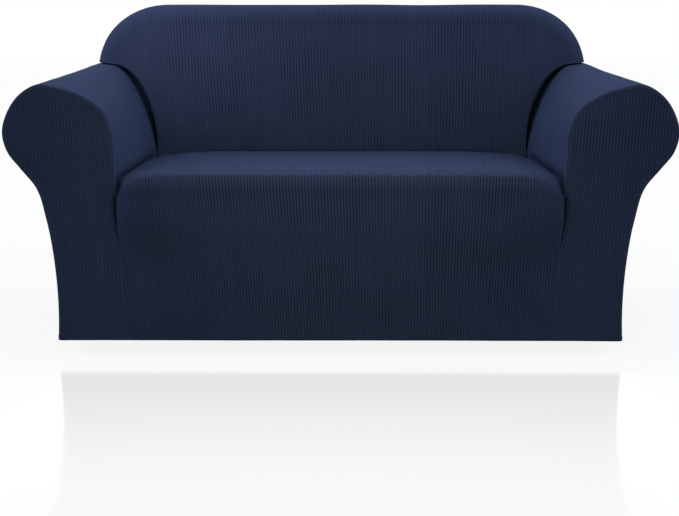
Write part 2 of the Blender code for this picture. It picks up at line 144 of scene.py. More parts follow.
def at_lengths(line: Array, lengths: Array) -> Array:
    """Points of a line, on its straight chords, at given lengths from its start."""
    walked = run_length(line)
    return np.stack([np.interp(lengths, walked, line[:, k]) for k in range(line.shape[1])], -1)


def placed(name: str, data: bpy.types.ID) -> bpy.types.Object:
    """A new object in the scene, at the origin, with the given mesh, lamp or camera data."""
    thing = bpy.data.objects.new(name, data)
    bpy.context.scene.collection.objects.link(thing)
    return thing


def soft_step(x: Array) -> Array:
    """0 up to x = 0 and 1 from x = 1, with an even S-curve between (3x^2 - 2x^3)."""
    x = np.clip(x, 0, 1)
    return x * x * (3 - 2 * x)


def crowded_start(count: int) -> Array:
    """Shares from 0 to 1 that crowd at the start, as the power 1.8 of even steps."""
    return np.linspace(0, 1, count) ** 1.8


def crowded_ends(count: int) -> Array:
    """Shares from 0 to 1 that crowd at both ends, as a half turn seen from the side."""
    return 0.5 - 0.5 * np.cos(np.linspace(0, np.pi, count))


def mirrored_grid(half: Array, flip: Array | float = 1.0) -> Array:
    """A whole grid from its right half: the columns in turn times the flip, then the half."""
    return np.concatenate([half[:, :0:-1] * flip, half], axis=1)


def joined(*parts: Array) -> Array:
    """Number lists put end to end, where each starts with the last number of the one before."""
    return np.concatenate([parts[0]] + [part[1:] for part in parts[1:]])


def blended_patch(left: Array, right: Array, bottom: Array, top: Array,
                  u: Array, v: Array) -> Array:
    """Points inside four boundary curves: across plus up, less the blend of the corners.

    Args:
        left: Curve at u = 0, from bottom to top.
        right: Curve at u = 1.
        bottom: Curve at v = 0, from left to right.
        top: Curve at v = 1.
        u: Share across of each column.
        v: Share up of each row.

    Returns:
        Grid of points, rows first.
    """
    v = v[:, None, None]
    u = u[None, :, None]
    across = left[:, None] * (1 - u) + right[:, None] * u
    up = bottom[None] * (1 - v) + top[None] * v
    low = bottom[None, :1] * (1 - u) + bottom[None, -1:] * u
    high = top[None, :1] * (1 - u) + top[None, -1:] * u
    return across + up - low * (1 - v) - high * v


def grid_normals(points: Array, outward: Sequence[float]) -> Array:
    """Unit normals of a grid: the cross product of its slopes down and across.

    Args:
        points: Grid of points.
        outward: Rough direction of the wanted side, in the middle of the grid.

    Returns:
        One normal for each point.
    """
    turned = points.swapaxes(0, 1)
    down = tangents(points, distances(points), 0.0)
    across = tangents(turned, distances(turned), 0.0).swapaxes(0, 1)
    normal = np.cross(down, across)
    normal /= np.linalg.norm(normal, axis=-1, keepdims=True)
    middle = normal[points.shape[0] // 2, points.shape[1] // 2]
    return normal * np.sign(middle @ np.asarray(outward, float))


@dataclass(frozen=True)
class Table:
    """Rows of sizes under named columns; the first value of a row is its name."""

    columns: tuple[str, ...]
    rows: tuple[tuple, ...]

    def column(self, name: str) -> Array:
        """All values of one named column."""
        index = self.columns.index(name)
        return np.array([row[index] for row in self.rows])

    def number(self, name: str) -> int:
        """Number of a named row, from 0."""
        return [row[0] for row in self.rows].index(name)


# ------------------------------------------------------------------ forms of the cover


@dataclass(frozen=True)
class CoverSizes:
    """Sizes that all panels share.

    A tuck is the length of cloth that dives out of sight in a crease, and a turn the width over
    which it curves there. Lips are the flat borders beside the seams. A hem share is the part of
    a form's last row that has the finer steps of the hem.
    """

    sheet: float = 0.0025
    seam_gap: float = -0.0001
    crease_gap: float = 0.0001
    foot_gap: float = 0.0020
    hem_z: float = 0.036
    hem_height: float = 0.020
    hem_stitch_z: float = 0.053
    depth: float = 0.860
    front_edge: float = 0.007
    rear_edge: float = 0.010
    lip: float = 0.003
    lip_at_crease: float = 0.2
    tuck: float = 0.050
    tuck_at_rear: float = 0.004
    back_turn: float = 0.016
    back_turn_at_rear: float = 0.004
    back_turn_low: float = 0.12
    back_turn_high: float = 0.6
    back_gap: float = 0.0105
    seat_turn: float = 0.026
    seat_tuck: float = 0.026
    arm_front_turn: float = 0.009
    dive_power: float = 1.45
    low_turn: float = 0.001
    undercut: float = 0.012
    undercut_height: float = 0.035
    undercut_start: float = 0.030
    hem_share: float = 0.13
    hem_share_seat: float = 0.24
    rounding_steps: int = 8
    lip_steps: int = 5

    def rear_rounding(self) -> tuple[Array, Array]:
        """The rear edge in section: a quarter turn of the edge's radius, then a flat lip.

        Returns:
            How far each step lies inside the outline, and its depth.
        """
        angle = np.linspace(0, np.pi / 2, self.rounding_steps + 1)[1:]
        lip = self.lip * np.linspace(0, 1, self.lip_steps + 1)[1:]
        inset = np.append(self.rear_edge * (1 - np.cos(angle)), self.rear_edge + lip)
        depth = self.depth - self.rear_edge * (1 - np.sin(angle))
        return inset, np.append(depth, np.full(len(lip), self.depth))


@dataclass(frozen=True)
class BackForm:
    """The back: a leaning, crowned face with rounded shoulders and a soft edge."""

    sizes: CoverSizes
    top_z: float = 0.900
    half_width: float = 0.744
    corner_width: float = 0.212
    corner_height: float = 0.200
    corner_power: float = 2.1
    edge_radius: float = 0.055
    lean: float = 0.20
    crown: float = 0.022
    crown_power: float = 4.0
    crown_rise: float = 0.7
    crown_rise_top: float = 1.9
    edge_share: float = 0.7
    joint_z: float = 0.7245
    crease_y: float = 0.600
    crease_half_width: float = 0.5615
    crease_mid_z: float = 0.465
    crease_side_z: float = 0.449
    crease_power: float = 6.0
    arm_line_power: float = 1.58
    face_rows: int = 5
    at_arm: float = 2.0
    pace_step: float = 0.02

    def outline_share(self, u: Array) -> Array:
        """Share of the outline's length up to u: 0 to 1 is the top, 1 to 2 the corner."""
        straight = self.half_width - self.corner_width
        corner = np.pi / 4 * (self.corner_width + self.corner_height)
        length = np.minimum(u, 1) * straight + np.maximum(u - 1, 0) * corner
        return length / (straight + corner)

    def outline(self, u: Array) -> tuple[Array, Array]:
        """Outline seen from the front: straight top, then a rounded corner of corner_power.

        Args:
            u: 0 at the middle of the top, 1 where the corner starts, 2 at the arm.

        Returns:
            X and Z of each point, and its outward normal.
        """
        straight = self.half_width - self.corner_width
        foot = self.top_z - self.corner_height
        joint_sine = ((self.joint_z - foot) / self.corner_height) ** (self.corner_power / 2)
        bend = np.maximum(u - 1, 0)
        angle = np.pi / 2 - bend * (np.pi / 2 - np.arcsin(joint_sine))
        across = np.maximum(np.cos(angle), 0) ** (2 / self.corner_power)
        up = np.sin(angle) ** (2 / self.corner_power)
        x = straight * np.minimum(u, 1) + self.corner_width * across
        z = foot + self.corner_height * up
        slope = self.corner_power - 1
        normal = np.stack([across**slope / self.corner_width, up**slope / self.corner_height], -1)
        return np.stack([x, z], -1), normal / np.linalg.norm(normal, axis=-1, keepdims=True)

    def crease_z(self, share: Array) -> Array:
        """Height of the crease between back and seat, lower near its ends."""
        drop = self.crease_mid_z - self.crease_side_z
        return self.crease_mid_z - drop * np.abs(share) ** self.crease_power

    def face_y(self, x: Array, z: Array) -> Array:
        """Depth of the front face: a lean to the rear less a crown in its middle."""
        rise = np.clip((z - self.crease_mid_z) / (self.top_z - self.crease_mid_z), 0, 1)
        middle = 1 - np.abs(x / self.half_width) ** self.crown_power
        lean = self.lean * (z - self.crease_mid_z)
        power = self.crown_rise + (self.crown_rise_top - self.crown_rise) * rise**2
        return self.crease_y + lean - self.crown * middle * np.sin(np.pi * rise) ** power

    def skin(self, u: Array, row: Array) -> tuple[Array, Array]:
        """Points of the back's cloth at outline position u and row number.

        Rows 0 to face_rows climb the face from the crease to the soft edge in a quarter of a
        rounded square. The next row goes round the edge and on to the rear seam.

        Args:
            u: Position along the outline.
            row: Row number, of a shape that goes with u.

        Returns:
            The points, and the angle that the edge has turned through.
        """
        outline, normal = self.outline(u)
        inner = outline - self.edge_radius * normal
        share = self.outline_share(u)
        foot_x = self.crease_half_width * share
        foot_z = self.crease_z(share)
        angle = np.clip(row / self.face_rows, 0, 1) * np.pi / 2
        across = 1 - np.clip(np.cos(angle), 0, 1) ** (2 / self.arm_line_power)
        up = np.sin(angle) ** (2 / self.arm_line_power)
        x = foot_x + (inner[..., 0] - foot_x) * across
        z = foot_z + (inner[..., 1] - foot_z) * up
        y = self.face_y(x, z)
        beyond = np.clip(row - self.face_rows, 0, 1)
        turn = np.clip(beyond / self.edge_share, 0, 1) * np.pi / 2
        along = np.clip((beyond - self.edge_share) / (1 - self.edge_share), 0, 1)
        x = x + self.edge_radius * normal[..., 0] * np.sin(turn)
        z = z + self.edge_radius * normal[..., 1] * np.sin(turn)
        y = y + self.edge_radius * (1 - np.cos(turn) + self.lean * normal[..., 1] * np.sin(turn))
        y = y + (self.sizes.depth - self.sizes.rear_edge - y) * along
        return np.stack([x, y, z], -1), turn + 0 * x

    def arm_line(self, row: Array) -> tuple[Array, Array]:
        """The line in which arm and back meet, and the way the cloth dives behind it.

        Args:
            row: Row numbers from 0 to face_rows + 1.

        Returns:
            Points of the line, and the full dive at each.
        """
        points, turn = self.skin(np.full(len(row), self.at_arm), row)
        dive = np.stack([-np.sin(turn), np.cos(turn), np.zeros(len(row))], -1)
        eased = np.clip(row - self.face_rows, 0, 1)
        depth = self.sizes.tuck + (self.sizes.tuck_at_rear - self.sizes.tuck) * eased
        return points, dive * depth[:, None]

    def pace(self, row: Array) -> Array:
        """Metres walked for each unit of u, at the arm's line."""
        near = self.skin(np.full(len(row), self.at_arm - self.pace_step), row)[0]
        there = self.skin(np.full(len(row), self.at_arm), row)[0]
        return np.linalg.norm((there - near) / self.pace_step, axis=-1)


@dataclass(frozen=True)
class ArmForm:
    """A rolled arm: its outline on the front, and its outer half at the rear seam."""

    sizes: CoverSizes
    back: BackForm
    front: Table = Table(
        ("row", "x", "z"),
        (
            ("crease", 0.563, 0.445),
            ("wall", 0.5650, 0.510),
            ("shoulder", 0.5675, 0.572),
            ("haunch", 0.588, 0.624),
            ("crest_in", 0.640, 0.662),
            ("top", 0.705, 0.684),
            ("joint", 0.748, 0.689),
            ("crest_out", 0.790, 0.6685),
            ("roll_out", 0.828, 0.621),
            ("widest", 0.8435, 0.567),
            ("roll_under", 0.833, 0.522),
            ("slope", 0.802, 0.480),
            ("neck", 0.765, 0.432),
            ("waist", 0.743, 0.350),
            ("skirt", 0.7265, 0.2225),
            ("hem", 0.727, 0.036),
        ),
    )
    rear: Table = Table(
        ("row", "x", "z"),
        (
            ("joint", 0.744, 0.7245),
            ("crest_out", 0.783, 0.710),
            ("roll_out", 0.812, 0.668),
            ("widest", 0.825, 0.620),
            ("roll_under", 0.814, 0.574),
            ("slope", 0.786, 0.530),
            ("neck", 0.757, 0.478),
            ("waist", 0.738, 0.370),
            ("skirt", 0.7225, 0.2225),
            ("hem", 0.720, 0.036),
        ),
    )
    joint: int = 6
    hem: int = 15
    nudge: float = 0.02

    def section(self, table: Table, at: Array) -> tuple[Array, Array]:
        """An outline through a table's points, at row numbers of the front table.

        Args:
            table: The front or the rear outline.
            at: Fractional row numbers.

        Returns:
            X and Z of each point, and its outward normal.
        """
        first = self.front.number(table.rows[0][0])
        points = np.stack([table.column("x"), table.column("z")], -1)
        ahead = smooth_curve(points, np.minimum(at - first + self.nudge, len(points) - 1))
        behind = smooth_curve(points, np.maximum(at - first - self.nudge, 0))
        along = ahead - behind
        normal = np.stack([-along[:, 1], along[:, 0]], -1)
        normal /= np.linalg.norm(normal, axis=1, keepdims=True)
        return smooth_curve(points, at - first), normal

    def front_lip(self, row: Array) -> Array:
        """Width of the flat lip on the arm's face, narrower towards the seat crease."""
        return self.sizes.lip * np.clip(row, self.sizes.lip_at_crease, 1)

    def rear_section(self, row: Array) -> tuple[Array, Array]:
        """The outline at the rear seam, with a mitred normal at the joint with the back."""
        points, normal = self.section(self.rear, row)
        normal[row == self.joint] = (1.0, 1.0)
        return points, normal

    def face_edge(self, row: Array) -> Array:
        """Edge of the arm's face panel, just inside the lip of the arm cover."""
        points, normal = self.section(self.front, row)
        inset = self.sizes.front_edge + self.front_lip(row) + self.sizes.seam_gap
        return points - normal * inset[:, None]

    def foot_x(self, y: Array) -> Array:
        """X of the arm's cloth along the seat crease, round its front edge to the face."""
        edge = self.sizes.front_edge
        front_x = self.front.column("x")[0]
        run = (self.back.crease_half_width - front_x) / (self.back.crease_y - edge)
        ahead = np.clip(edge - y, 0, edge)
        wall = front_x + run * np.maximum(y - edge, 0) + edge - np.sqrt(edge**2 - ahead**2)
        return wall + self.undercut(y)

    def undercut(self, y: Array) -> Array:
        """How far the arm's cloth draws back at the seat crease, nothing at its two ends."""
        sizes = self.sizes
        from_front = soft_step((y - sizes.front_edge) / sizes.undercut_start)
        from_rear = soft_step((self.back.crease_y - y) / sizes.undercut_start)
        return sizes.undercut * from_front * from_rear


@dataclass(frozen=True)
class SeatForm:
    """Seat and apron: the line down the middle and the seam at the side, row by row.

    turn is the angle at which the side edge dives, from straight down (0) to straight back
    (90), tuck its share of the full tuck, and power how squarely the crown ends at the side.
    """

    sizes: CoverSizes
    arm: ArmForm
    table: Table = Table(
        ("row", "mid_y", "mid_z", "seam_x", "side_y", "side_z", "turn", "tuck", "gap", "power"),
        (
            ("rear_tuck", 0.6095, 0.465, 0.580, 0.6095, 0.4490, 0, 1, 0.006, 6),
            ("rear", 0.600, 0.465, 0.580, 0.600, 0.4490, 0, 1, 0.006, 6),
            ("deck", 0.300, 0.473, 0.580, 0.300, 0.4490, 0, 1, 0.008, 12),
            ("deck_front", 0.060, 0.4755, 0.580, 0.060, 0.4380, 0, 1, 0.008, 14),
            ("edge_top", -0.012, 0.4745, 0.570, 0.0120, 0.4310, 10, 1, 0.003, 16),
            ("edge", -0.0285, 0.4680, 0.570, 0.0030, 0.4180, 45, 1, 0.002, 16),
            ("edge_front", -0.0345, 0.4520, 0.570, 0.0, 0.4020, 80, 0.9, 0.0015, 18),
            ("knee", -0.0340, 0.4020, 0.570, 0.0, 0.3780, 90, 0.75, 0.001, 18),
            ("groove_low", -0.0290, 0.330, 0.5680, 0.0, 0.3300, 90, 0.5, 0, 12),
            ("groove_end", -0.0210, 0.265, 0.5560, 0.0, 0.2650, 90, 0, 0, 6),
            ("shin", -0.0090, 0.140, 0.5490, 0.0, 0.1400, 90, 0, 0, 4),
            ("hem", 0.0, 0.036, 0.5450, 0.0, 0.036, 90, 0, 0, 4),
        ),
    )
    face: int = 6
    groove_end: int = 9
    hem: int = 11
    seam_steps: int = 60

    def lines(self, at: Array) -> dict[str, Array]:
        """Middle line, side seam, dive, tuck and crown power at fractional row numbers.

        Args:
            at: Fractional row numbers.

        Returns:
            Arrays by name, one row for each number.
        """
        names = self.table.columns[1:]
        rows = np.stack([self.table.column(name) for name in names], -1)
        values = smooth_curve(rows, at, distances(rows[:, :2]))
        found = dict(zip(names, values.T))
        side_y = np.where(at < self.face, np.maximum(found["side_y"], 0), 0)
        side_x = np.minimum(self.arm.foot_x(side_y), found["seam_x"]) - self.sizes.seam_gap
        turn = np.radians(np.clip(found["turn"], 0, 90))
        tuck = np.clip(found["tuck"], 0, 1)
        dive = np.stack([0 * turn, np.sin(turn), -np.cos(turn)], -1)
        return {
            "middle": np.stack([found["mid_y"], found["mid_z"]], -1),
            "side": np.stack([side_x, side_y, found["side_z"]], -1),
            "dive": dive * (self.sizes.seat_tuck * tuck)[:, None],
            "tuck": tuck,
            "gap": np.maximum(found["gap"], 0),
            "power": found["power"],
        }

    def seam_height(self, y: Array) -> Array:
        """Height of the side seam where it goes round the arm's front edge, at depth y."""
        side = self.lines(np.linspace(self.face, 1, self.seam_steps))["side"]
        return np.interp(y, side[:, 1], side[:, 2])


# ------------------------------------------------------------------ relief of the cloth


@dataclass(frozen=True)
class RibFlow:
    """How the stretched cloth carries its ribs: spread apart, leaning and fanning downwards."""

    spread: float = 1.0
    drift: float = 0.0
    fan: float = 0.0

    def across(self, x: Array, down: Array) -> Array:
        """Rib coordinate: the place across, moved and drawn together with the way down."""
        return (x + self.drift * down) * (1 + self.fan * down) / self.spread


@dataclass(frozen=True)
class Hollow:
    """A broad place that is set back (height under 0) or forward, in cloth coordinates."""

    centre: tuple[float, float]
    reach: tuple[float, float]
    height: float

    def relief(self, cloth: Array) -> Array:
        """Height of a bell over the scaled distance from the centre."""
        off = (cloth - np.array(self.centre)) / np.array(self.reach)
        return self.height * np.exp(-(off**2).sum(axis=-1))


@dataclass(frozen=True)
class Unevenness:
    """Broad, faint swells of cloth that isn't pulled quite evenly."""

    height: float = 0.0006
    lengths: tuple[float, ...] = (0.42, 0.27, 0.19, 0.13)
    turn_by: float = 2.4
    bend: float = 0.35
    bend_length: float = 1.7

    def relief(self, cloth: Array, turn: float) -> Array:
        """Sum of sine waves in turned directions, each half as wide and lower than the last.

        Args:
            cloth: Cloth coordinates of each point.
            turn: Angle of the first wave, which sets the panel's own pattern.

        Returns:
            Height at each point.
        """
        total = np.zeros(cloth.shape[:2])
        for step, length in enumerate(self.lengths):
            angle = turn + self.turn_by * step
            walk = cloth[..., 0] * math.cos(angle) + cloth[..., 1] * math.sin(angle)
            bend_at = 2 * np.pi * cloth[..., 1] / (self.bend_length * length)
            bend = self.bend * np.sin(bend_at + 3 * turn)
            total += np.sin(2 * np.pi * walk / length + 5.1 * turn + bend) / (1 + step)
        return self.height * total


@dataclass(frozen=True)
class Seam:
    """A sewn edge on a flat place: the cloth sinks to the stitches and puckers beside them."""

    depth: float = 0.0003
    reach: float = 0.0018
    pucker: float = 0.00016
    pucker_reach: float = 0.009
    pucker_length: float = 0.013
    drift: float = 1.3
    drift_length: float = 0.11

    def relief(self, away: Array, along: Array, share: Array | float = 1.0) -> Array:
        """A fall that dies away from the edge, with a ripple that runs along it.

        Args:
            away: Distance of each point from the sewn edge.
            along: Length along the edge.
            share: How much of the relief applies, from 0 to 1.

        Returns:
            Height at each point.
        """
        fall = -self.depth * np.exp(-away / self.reach)
        phase = 2 * np.pi * along / self.pucker_length + self.drift * np.sin(along / self.drift_length)
        ripple = self.pucker * np.sin(phase) * np.exp(-away / self.pucker_reach)
        return share * (fall + ripple * (1 - np.exp(-away / self.reach)))


@dataclass(frozen=True)
class Hem:
    """The turned-up lower edge: a double layer, with a line of stitches along its top."""

    sizes: CoverSizes
    puff: float = 0.0005
    dent: float = 0.0006
    dent_width: float = 0.0016
    round_depth: float = 0.0024
    round_height: float = 0.0040
    puff_power: float = 0.6

    def relief(self, z: Array) -> Array:
        """A low puff over the double layer, a narrow dent under the stitches, a round fold.

        Args:
            z: Height above the floor of each point.

        Returns:
            Height of the relief at each point.
        """
        up = (z - self.sizes.hem_z) / (self.sizes.hem_stitch_z - self.sizes.hem_z)
        puff = self.puff * np.sin(np.pi * np.clip(up, 0, 1)) ** self.puff_power
        dent = -self.dent * np.exp(-(((z - self.sizes.hem_stitch_z) / self.dent_width) ** 2))
        low = 1 - np.clip((z - self.sizes.hem_z) / self.round_height, 0, 1)
        return puff + dent - self.round_depth * (1 - np.sqrt(1 - low**2))


# ------------------------------------------------------------------ sheets


@dataclass
class Skin:
    """Outer skin of a panel: a grid of points with its cloth coordinates and relief."""

    points: Array
    cloth: Array
    relief: Array
    outward: tuple[float, float, float]
    forward: Array | None = None
    rib_depth: Array | float = 1.0

    def mirrored(self, side: Side) -> "Skin":
        """The same skin, on the asked side of the middle plane."""
        flip = MIRRORED if side is Side.LEFT else np.ones(3)
        outward = tuple(self.outward * flip)
        return replace(self, points=self.points * flip, outward=outward)

    def normals(self, points: Array) -> Array:
        """Outward normals of the grid, straight to the front where the skin is marked so.

        Args:
            points: The grid's points, with or without relief.

        Returns:
            One unit normal for each point.
        """
        normal = grid_normals(points, self.outward)
        if self.forward is not None:
            normal[self.forward] = (0.0, -1.0, 0.0)
        return normal


@dataclass(frozen=True)
class SheetMaker:
    """Makes closed sheets from skins: relief, inner layer, rim, and the cloth's own map."""

    sizes: CoverSizes
    hem_step: float = 0.003
    sharp_angle: float = math.radians(60)

    def thickness(self, z: Array) -> Array:
        """Thickness at each height: the cloth lies double in the hem."""
        top = self.sizes.hem_z + self.sizes.hem_height
        return self.sizes.sheet * (1 + soft_step((top - z) / self.hem_step))

    def build(self, name: str, skin: Skin, finish: bpy.types.Material) -> bpy.types.Object:
        """One closed sheet whose outer skin is the grid raised by its relief.

        Args:
            name: Name of the piece.
            skin: The grid, its cloth coordinates and relief.
            finish: Material of the whole sheet.

        Returns:
            The new object, at the frame's origin.
        """
        outer = skin.points + skin.normals(skin.points) * skin.relief[..., None]
        normal = skin.normals(outer)
        inner = outer - normal * self.thickness(skin.points[..., 2])[..., None]
        rows, columns = outer.shape[:2]
        ids = np.arange(rows * columns).reshape(rows, columns)
        quads = np.stack([ids[:-1, :-1], ids[1:, :-1], ids[1:, 1:], ids[:-1, 1:]], -1)
        quads = quads.reshape(-1, 4)
        ring = np.concatenate([ids[0, :-1], ids[:-1, -1], ids[-1, :0:-1], ids[:0:-1, 0]])
        after = np.roll(ring, -1)
        count = rows * columns
        rim = np.stack([ring, after, after + count, ring + count], -1)
        faces = np.concatenate([quads, quads[:, ::-1] + count, rim])
        if self._faces_inwards(outer, normal):
            faces = faces[:, ::-1]
        points = np.concatenate([outer.reshape(-1, 3), inner.reshape(-1, 3)]) - HELD_AT
        mesh = bpy.data.meshes.new(name)
        mesh.from_pydata(points.tolist(), [], faces.tolist())
        mesh.update()
        self._map_cloth(mesh, skin.cloth, count)
        depth = np.broadcast_to(skin.rib_depth, (rows, columns)).ravel()
        mesh.attributes.new(RIB_DEPTH, "FLOAT", "POINT").data.foreach_set(
            "value", np.tile(depth, 2).astype(np.float32))
        mesh.shade_smooth()
        mesh.set_sharp_from_angle(angle=self.sharp_angle)
        mesh.materials.append(finish)
        return placed(name, mesh)

    @staticmethod
    def _faces_inwards(outer: Array, normal: Array) -> bool:
        """Whether quads wound down then across would face away from the normals."""
        i, j = outer.shape[0] // 2, outer.shape[1] // 2
        down = outer[i + 1, j] - outer[i, j]
        across = outer[i, j + 1] - outer[i, j]
        return bool(np.cross(down, across) @ normal[i, j] < 0)

    @staticmethod
    def _map_cloth(mesh: bpy.types.Mesh, cloth: Array, count: int) -> None:
        """Write the cloth coordinates, in metres, as the mesh's map.

        Args:
            mesh: The closed sheet.
            cloth: Cloth coordinates of the outer grid.
            count: Number of points in one layer.
        """
        layer = mesh.uv_layers.new(name=CLOTH_MAP)
        corners = np.empty(len(mesh.loops), dtype=np.int32)
        mesh.loops.foreach_get("vertex_index", corners)
        flat = cloth.reshape(-1, 2)[corners % count]
        layer.data.foreach_set("uv", flat.astype(np.float32).ravel())


def edge_runs(points: Array) -> dict[str, Array]:
    """Distance of each grid point from the four edges, walked along the grid.

    Args:
        points: Grid of points.

    Returns:
        Arrays for the edges "first_row", "last_row", "first_column" and "last_column".
    """
    down = run_length(points)
    turned = points.swapaxes(0, 1)
    across = run_length(turned).swapaxes(0, 1)
    return {
        "first_row": down,
        "last_row": down[-1:] - down,
        "first_column": across,
        "last_column": across[:, -1:] - across,
    }


def nearest(runs: dict[str, Array], *edges: str) -> Array:
    """Distance of each grid point from the nearest of the named edges."""
    return np.minimum.reduce([runs[edge] for edge in edges])


# ------------------------------------------------------------------ panels


@dataclass
class Panel:
    """A cut panel of the cover: its place, and the flat size it was cut to."""

    sizes: CoverSizes
    name: str
    node: str
    flat: tuple[float, float]
    area: float
    side: Side | None = None
    ribs: RibFlow = RibFlow()
    seam: Seam = Seam()
    swells: Unevenness = Unevenness()
    turn: float = 0.0
    calm: float = 0.035

    def soft_relief(self, cloth: Array, away: Array) -> Array:
        """Height of the swells, which die out towards the sewn edges, the given way away."""
        return self.swells.relief(cloth, self.turn) * soft_step(away / self.calm)

    def skin(self) -> Skin:
        """Outer skin of the panel, on the right where there are two."""
        raise NotImplementedError

    def make(self, maker: SheetMaker, finish: bpy.types.Material) -> bpy.types.Object:
        """Args:
            maker: Turns the skin into a closed sheet.
            finish: Its material.

        Returns:
            The finished piece.
        """
        skin = self.skin()
        if self.side is not None:
            skin = skin.mirrored(self.side)
        piece = maker.build(self.name, skin, finish)
        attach(piece, BODY)
        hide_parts(self.node)
        log.info("%s: %d faces, %.3f m2 a side", self.name, len(piece.data.polygons),
                 sum(face.area for face in piece.data.polygons) / 2)
        return piece


@dataclass
class InsideBack(Panel):
    """Front of the back, over its top and round its sides to the rear seam.

    The ribs fade between the two distances plain_x from the middle, to the depth plain_depth.
    """

    form: BackForm | None = None
    top_columns: int = 34
    corner_columns: int = 44
    turn_columns: int = 18
    low_rows: int = 10
    face_rows: int = 66
    first_row: float = 0.15
    edge_rows: int = 20
    band_rows: int = 12
    plain_x: tuple[float, float] = (0.44, 0.64)
    plain_depth: float = 0.35
    hollow: Hollow = Hollow((-0.54, 0.468), (0.20, 0.060), -0.008)
    gap_power: float = 1.1
    gap_end_power: int = 8

    def skin(self) -> Skin:
        """Outline positions across, and up the crease's turn, the face, the edge and the band.

        Returns:
            The panel's skin, both halves.
        """
        form, sizes = self.form, self.sizes
        t = np.linspace(0, 1, self.turn_columns)
        flat_columns = self.top_columns + self.corner_columns - 2
        dive_share = np.concatenate([np.zeros(flat_columns), t**sizes.dive_power])
        rows = joined(
            np.linspace(self.first_row, form.face_rows, self.face_rows),
            form.face_rows + form.edge_share * np.linspace(0, 1, self.edge_rows),
            form.face_rows + np.linspace(form.edge_share, 1, self.band_rows),
        )
        _, dive = form.arm_line(rows)
        u = self._columns(rows[:, None], t)
        body = form.skin(u, rows[:, None])[0] + dive[:, None, :] * dive_share[None, :, None]
        low = self._low_rows(t, dive_share)
        rear = self._rear_rows(body[-1], u[-1], dive_share)
        half = np.concatenate([low, body, rear])
        cloth = self._cloth(half, u[self.face_rows - 1], len(low))
        runs = edge_runs(half)
        relief = self.seam.relief(runs["last_row"], run_length(half[-1])[None])
        above = np.maximum(runs["first_row"] - runs["first_row"][len(low)], 0)
        away = np.minimum(above, nearest(runs, "last_row", "last_column"))
        points = mirrored_grid(half, MIRRORED)
        cloth = mirrored_grid(cloth, MIRRORED[:2])
        relief = mirrored_grid(relief) + self.soft_relief(cloth, mirrored_grid(away))
        points[..., 1] -= self.hollow.relief(cloth)
        start, end = self.plain_x
        near_arm = soft_step((np.abs(points[..., 0]) - start) / (end - start))
        depth = 1 + (self.plain_depth - 1) * near_arm
        return Skin(points, self._ribbed(cloth), relief, (0, -1, 0), rib_depth=depth)

    def _columns(self, row: Array, t: Array) -> Array:
        """Outline positions: even over the top and the corner, then the turn beside the arm.

        The turned cloth keeps a gap to the arm, widest half way up and closed at the bottom. The
        radius of its turn grows up the arm and shrinks again on the way to the rear seam.

        Args:
            row: Row numbers, as a column.
            t: Shares of the turn.

        Returns:
            Outline position of each point.
        """
        sizes, last = self.sizes, self.form.face_rows
        up = np.clip(row / last, 0, 1)
        radius = sizes.back_turn * (sizes.back_turn_low + (1 - sizes.back_turn_low) * soft_step(2 * up))
        high = soft_step((up - sizes.back_turn_high) / (1 - sizes.back_turn_high))
        radius = radius + (sizes.back_turn_at_rear - radius) * high
        gap = sizes.back_gap * np.sin(np.pi * up) ** self.gap_power * (1 - high)
        gap = gap * (1 - t**self.gap_end_power) + sizes.crease_gap
        beside = self.form.at_arm - (radius * (1 - t) ** 2 + gap) / self.form.pace(row[:, 0])[:, None]
        top = np.broadcast_to(np.linspace(0, 1, self.top_columns), (len(row), self.top_columns))
        corner = np.linspace(0, 1, self.corner_columns)[1:-1]
        return np.hstack([top, 1 + (beside[:, :1] - 1) * corner, beside])

    def _low_rows(self, t: Array, dive_share: Array) -> Array:
        """The lower edge, which turns in over the seat and sinks into its corners.

        Args:
            t: Shares of the turn.
            dive_share: Share of the side's dive in each column.

        Returns:
            The rows of points.
        """
        form, sizes = self.form, self.sizes
        fall = np.linspace(1, 0, self.low_rows + 1)[:-1, None]
        height = sizes.low_turn * (1 - fall) ** 2 + sizes.crease_gap
        corner_row = self._row_at(np.array([[form.at_arm]]), height)
        u = self._columns(corner_row, t)
        points = form.skin(u, self._row_at(u, height))[0]
        points[..., 1] += sizes.tuck * np.maximum(fall**2, dive_share) + sizes.crease_gap * fall
        points[..., 2] -= sizes.tuck * fall**2 * dive_share**2
        return points

    def _row_at(self, u: Array, height: Array) -> Array:
        """Row number at which the face lies at a height above the crease.

        Args:
            u: Outline positions.
            height: Heights above the crease.

        Returns:
            Fractional row numbers.
        """
        form = self.form
        outline, normal = form.outline(u)
        top = (outline - form.edge_radius * normal)[..., 1]
        rise = top - form.crease_z(form.outline_share(u))
        return np.arcsin((height / rise) ** (form.arm_line_power / 2)) / (np.pi / 2) * form.face_rows

    def _rear_rows(self, last: Array, u: Array, mitre: Array) -> Array:
        """The rear edge, rounded into the plane of the rear seam, and its flat lip.

        Args:
            last: Points of the band's last row.
            u: Outline position of each column.
            mitre: Share of the mitre at the arm, in each column.

        Returns:
            The rows of points.
        """
        _, normal = self.form.outline(np.minimum(u, self.form.at_arm))
        corner = normal + np.stack([np.zeros(len(mitre)), mitre], -1)
        inset, depth = self.sizes.rear_rounding()
        rows = np.repeat(last[None], len(inset), axis=0)
        rows[..., 0] -= corner[:, 0] * inset[:, None]
        rows[..., 2] -= corner[:, 1] * inset[:, None]
        rows[..., 1] = depth[:, None]
        return rows

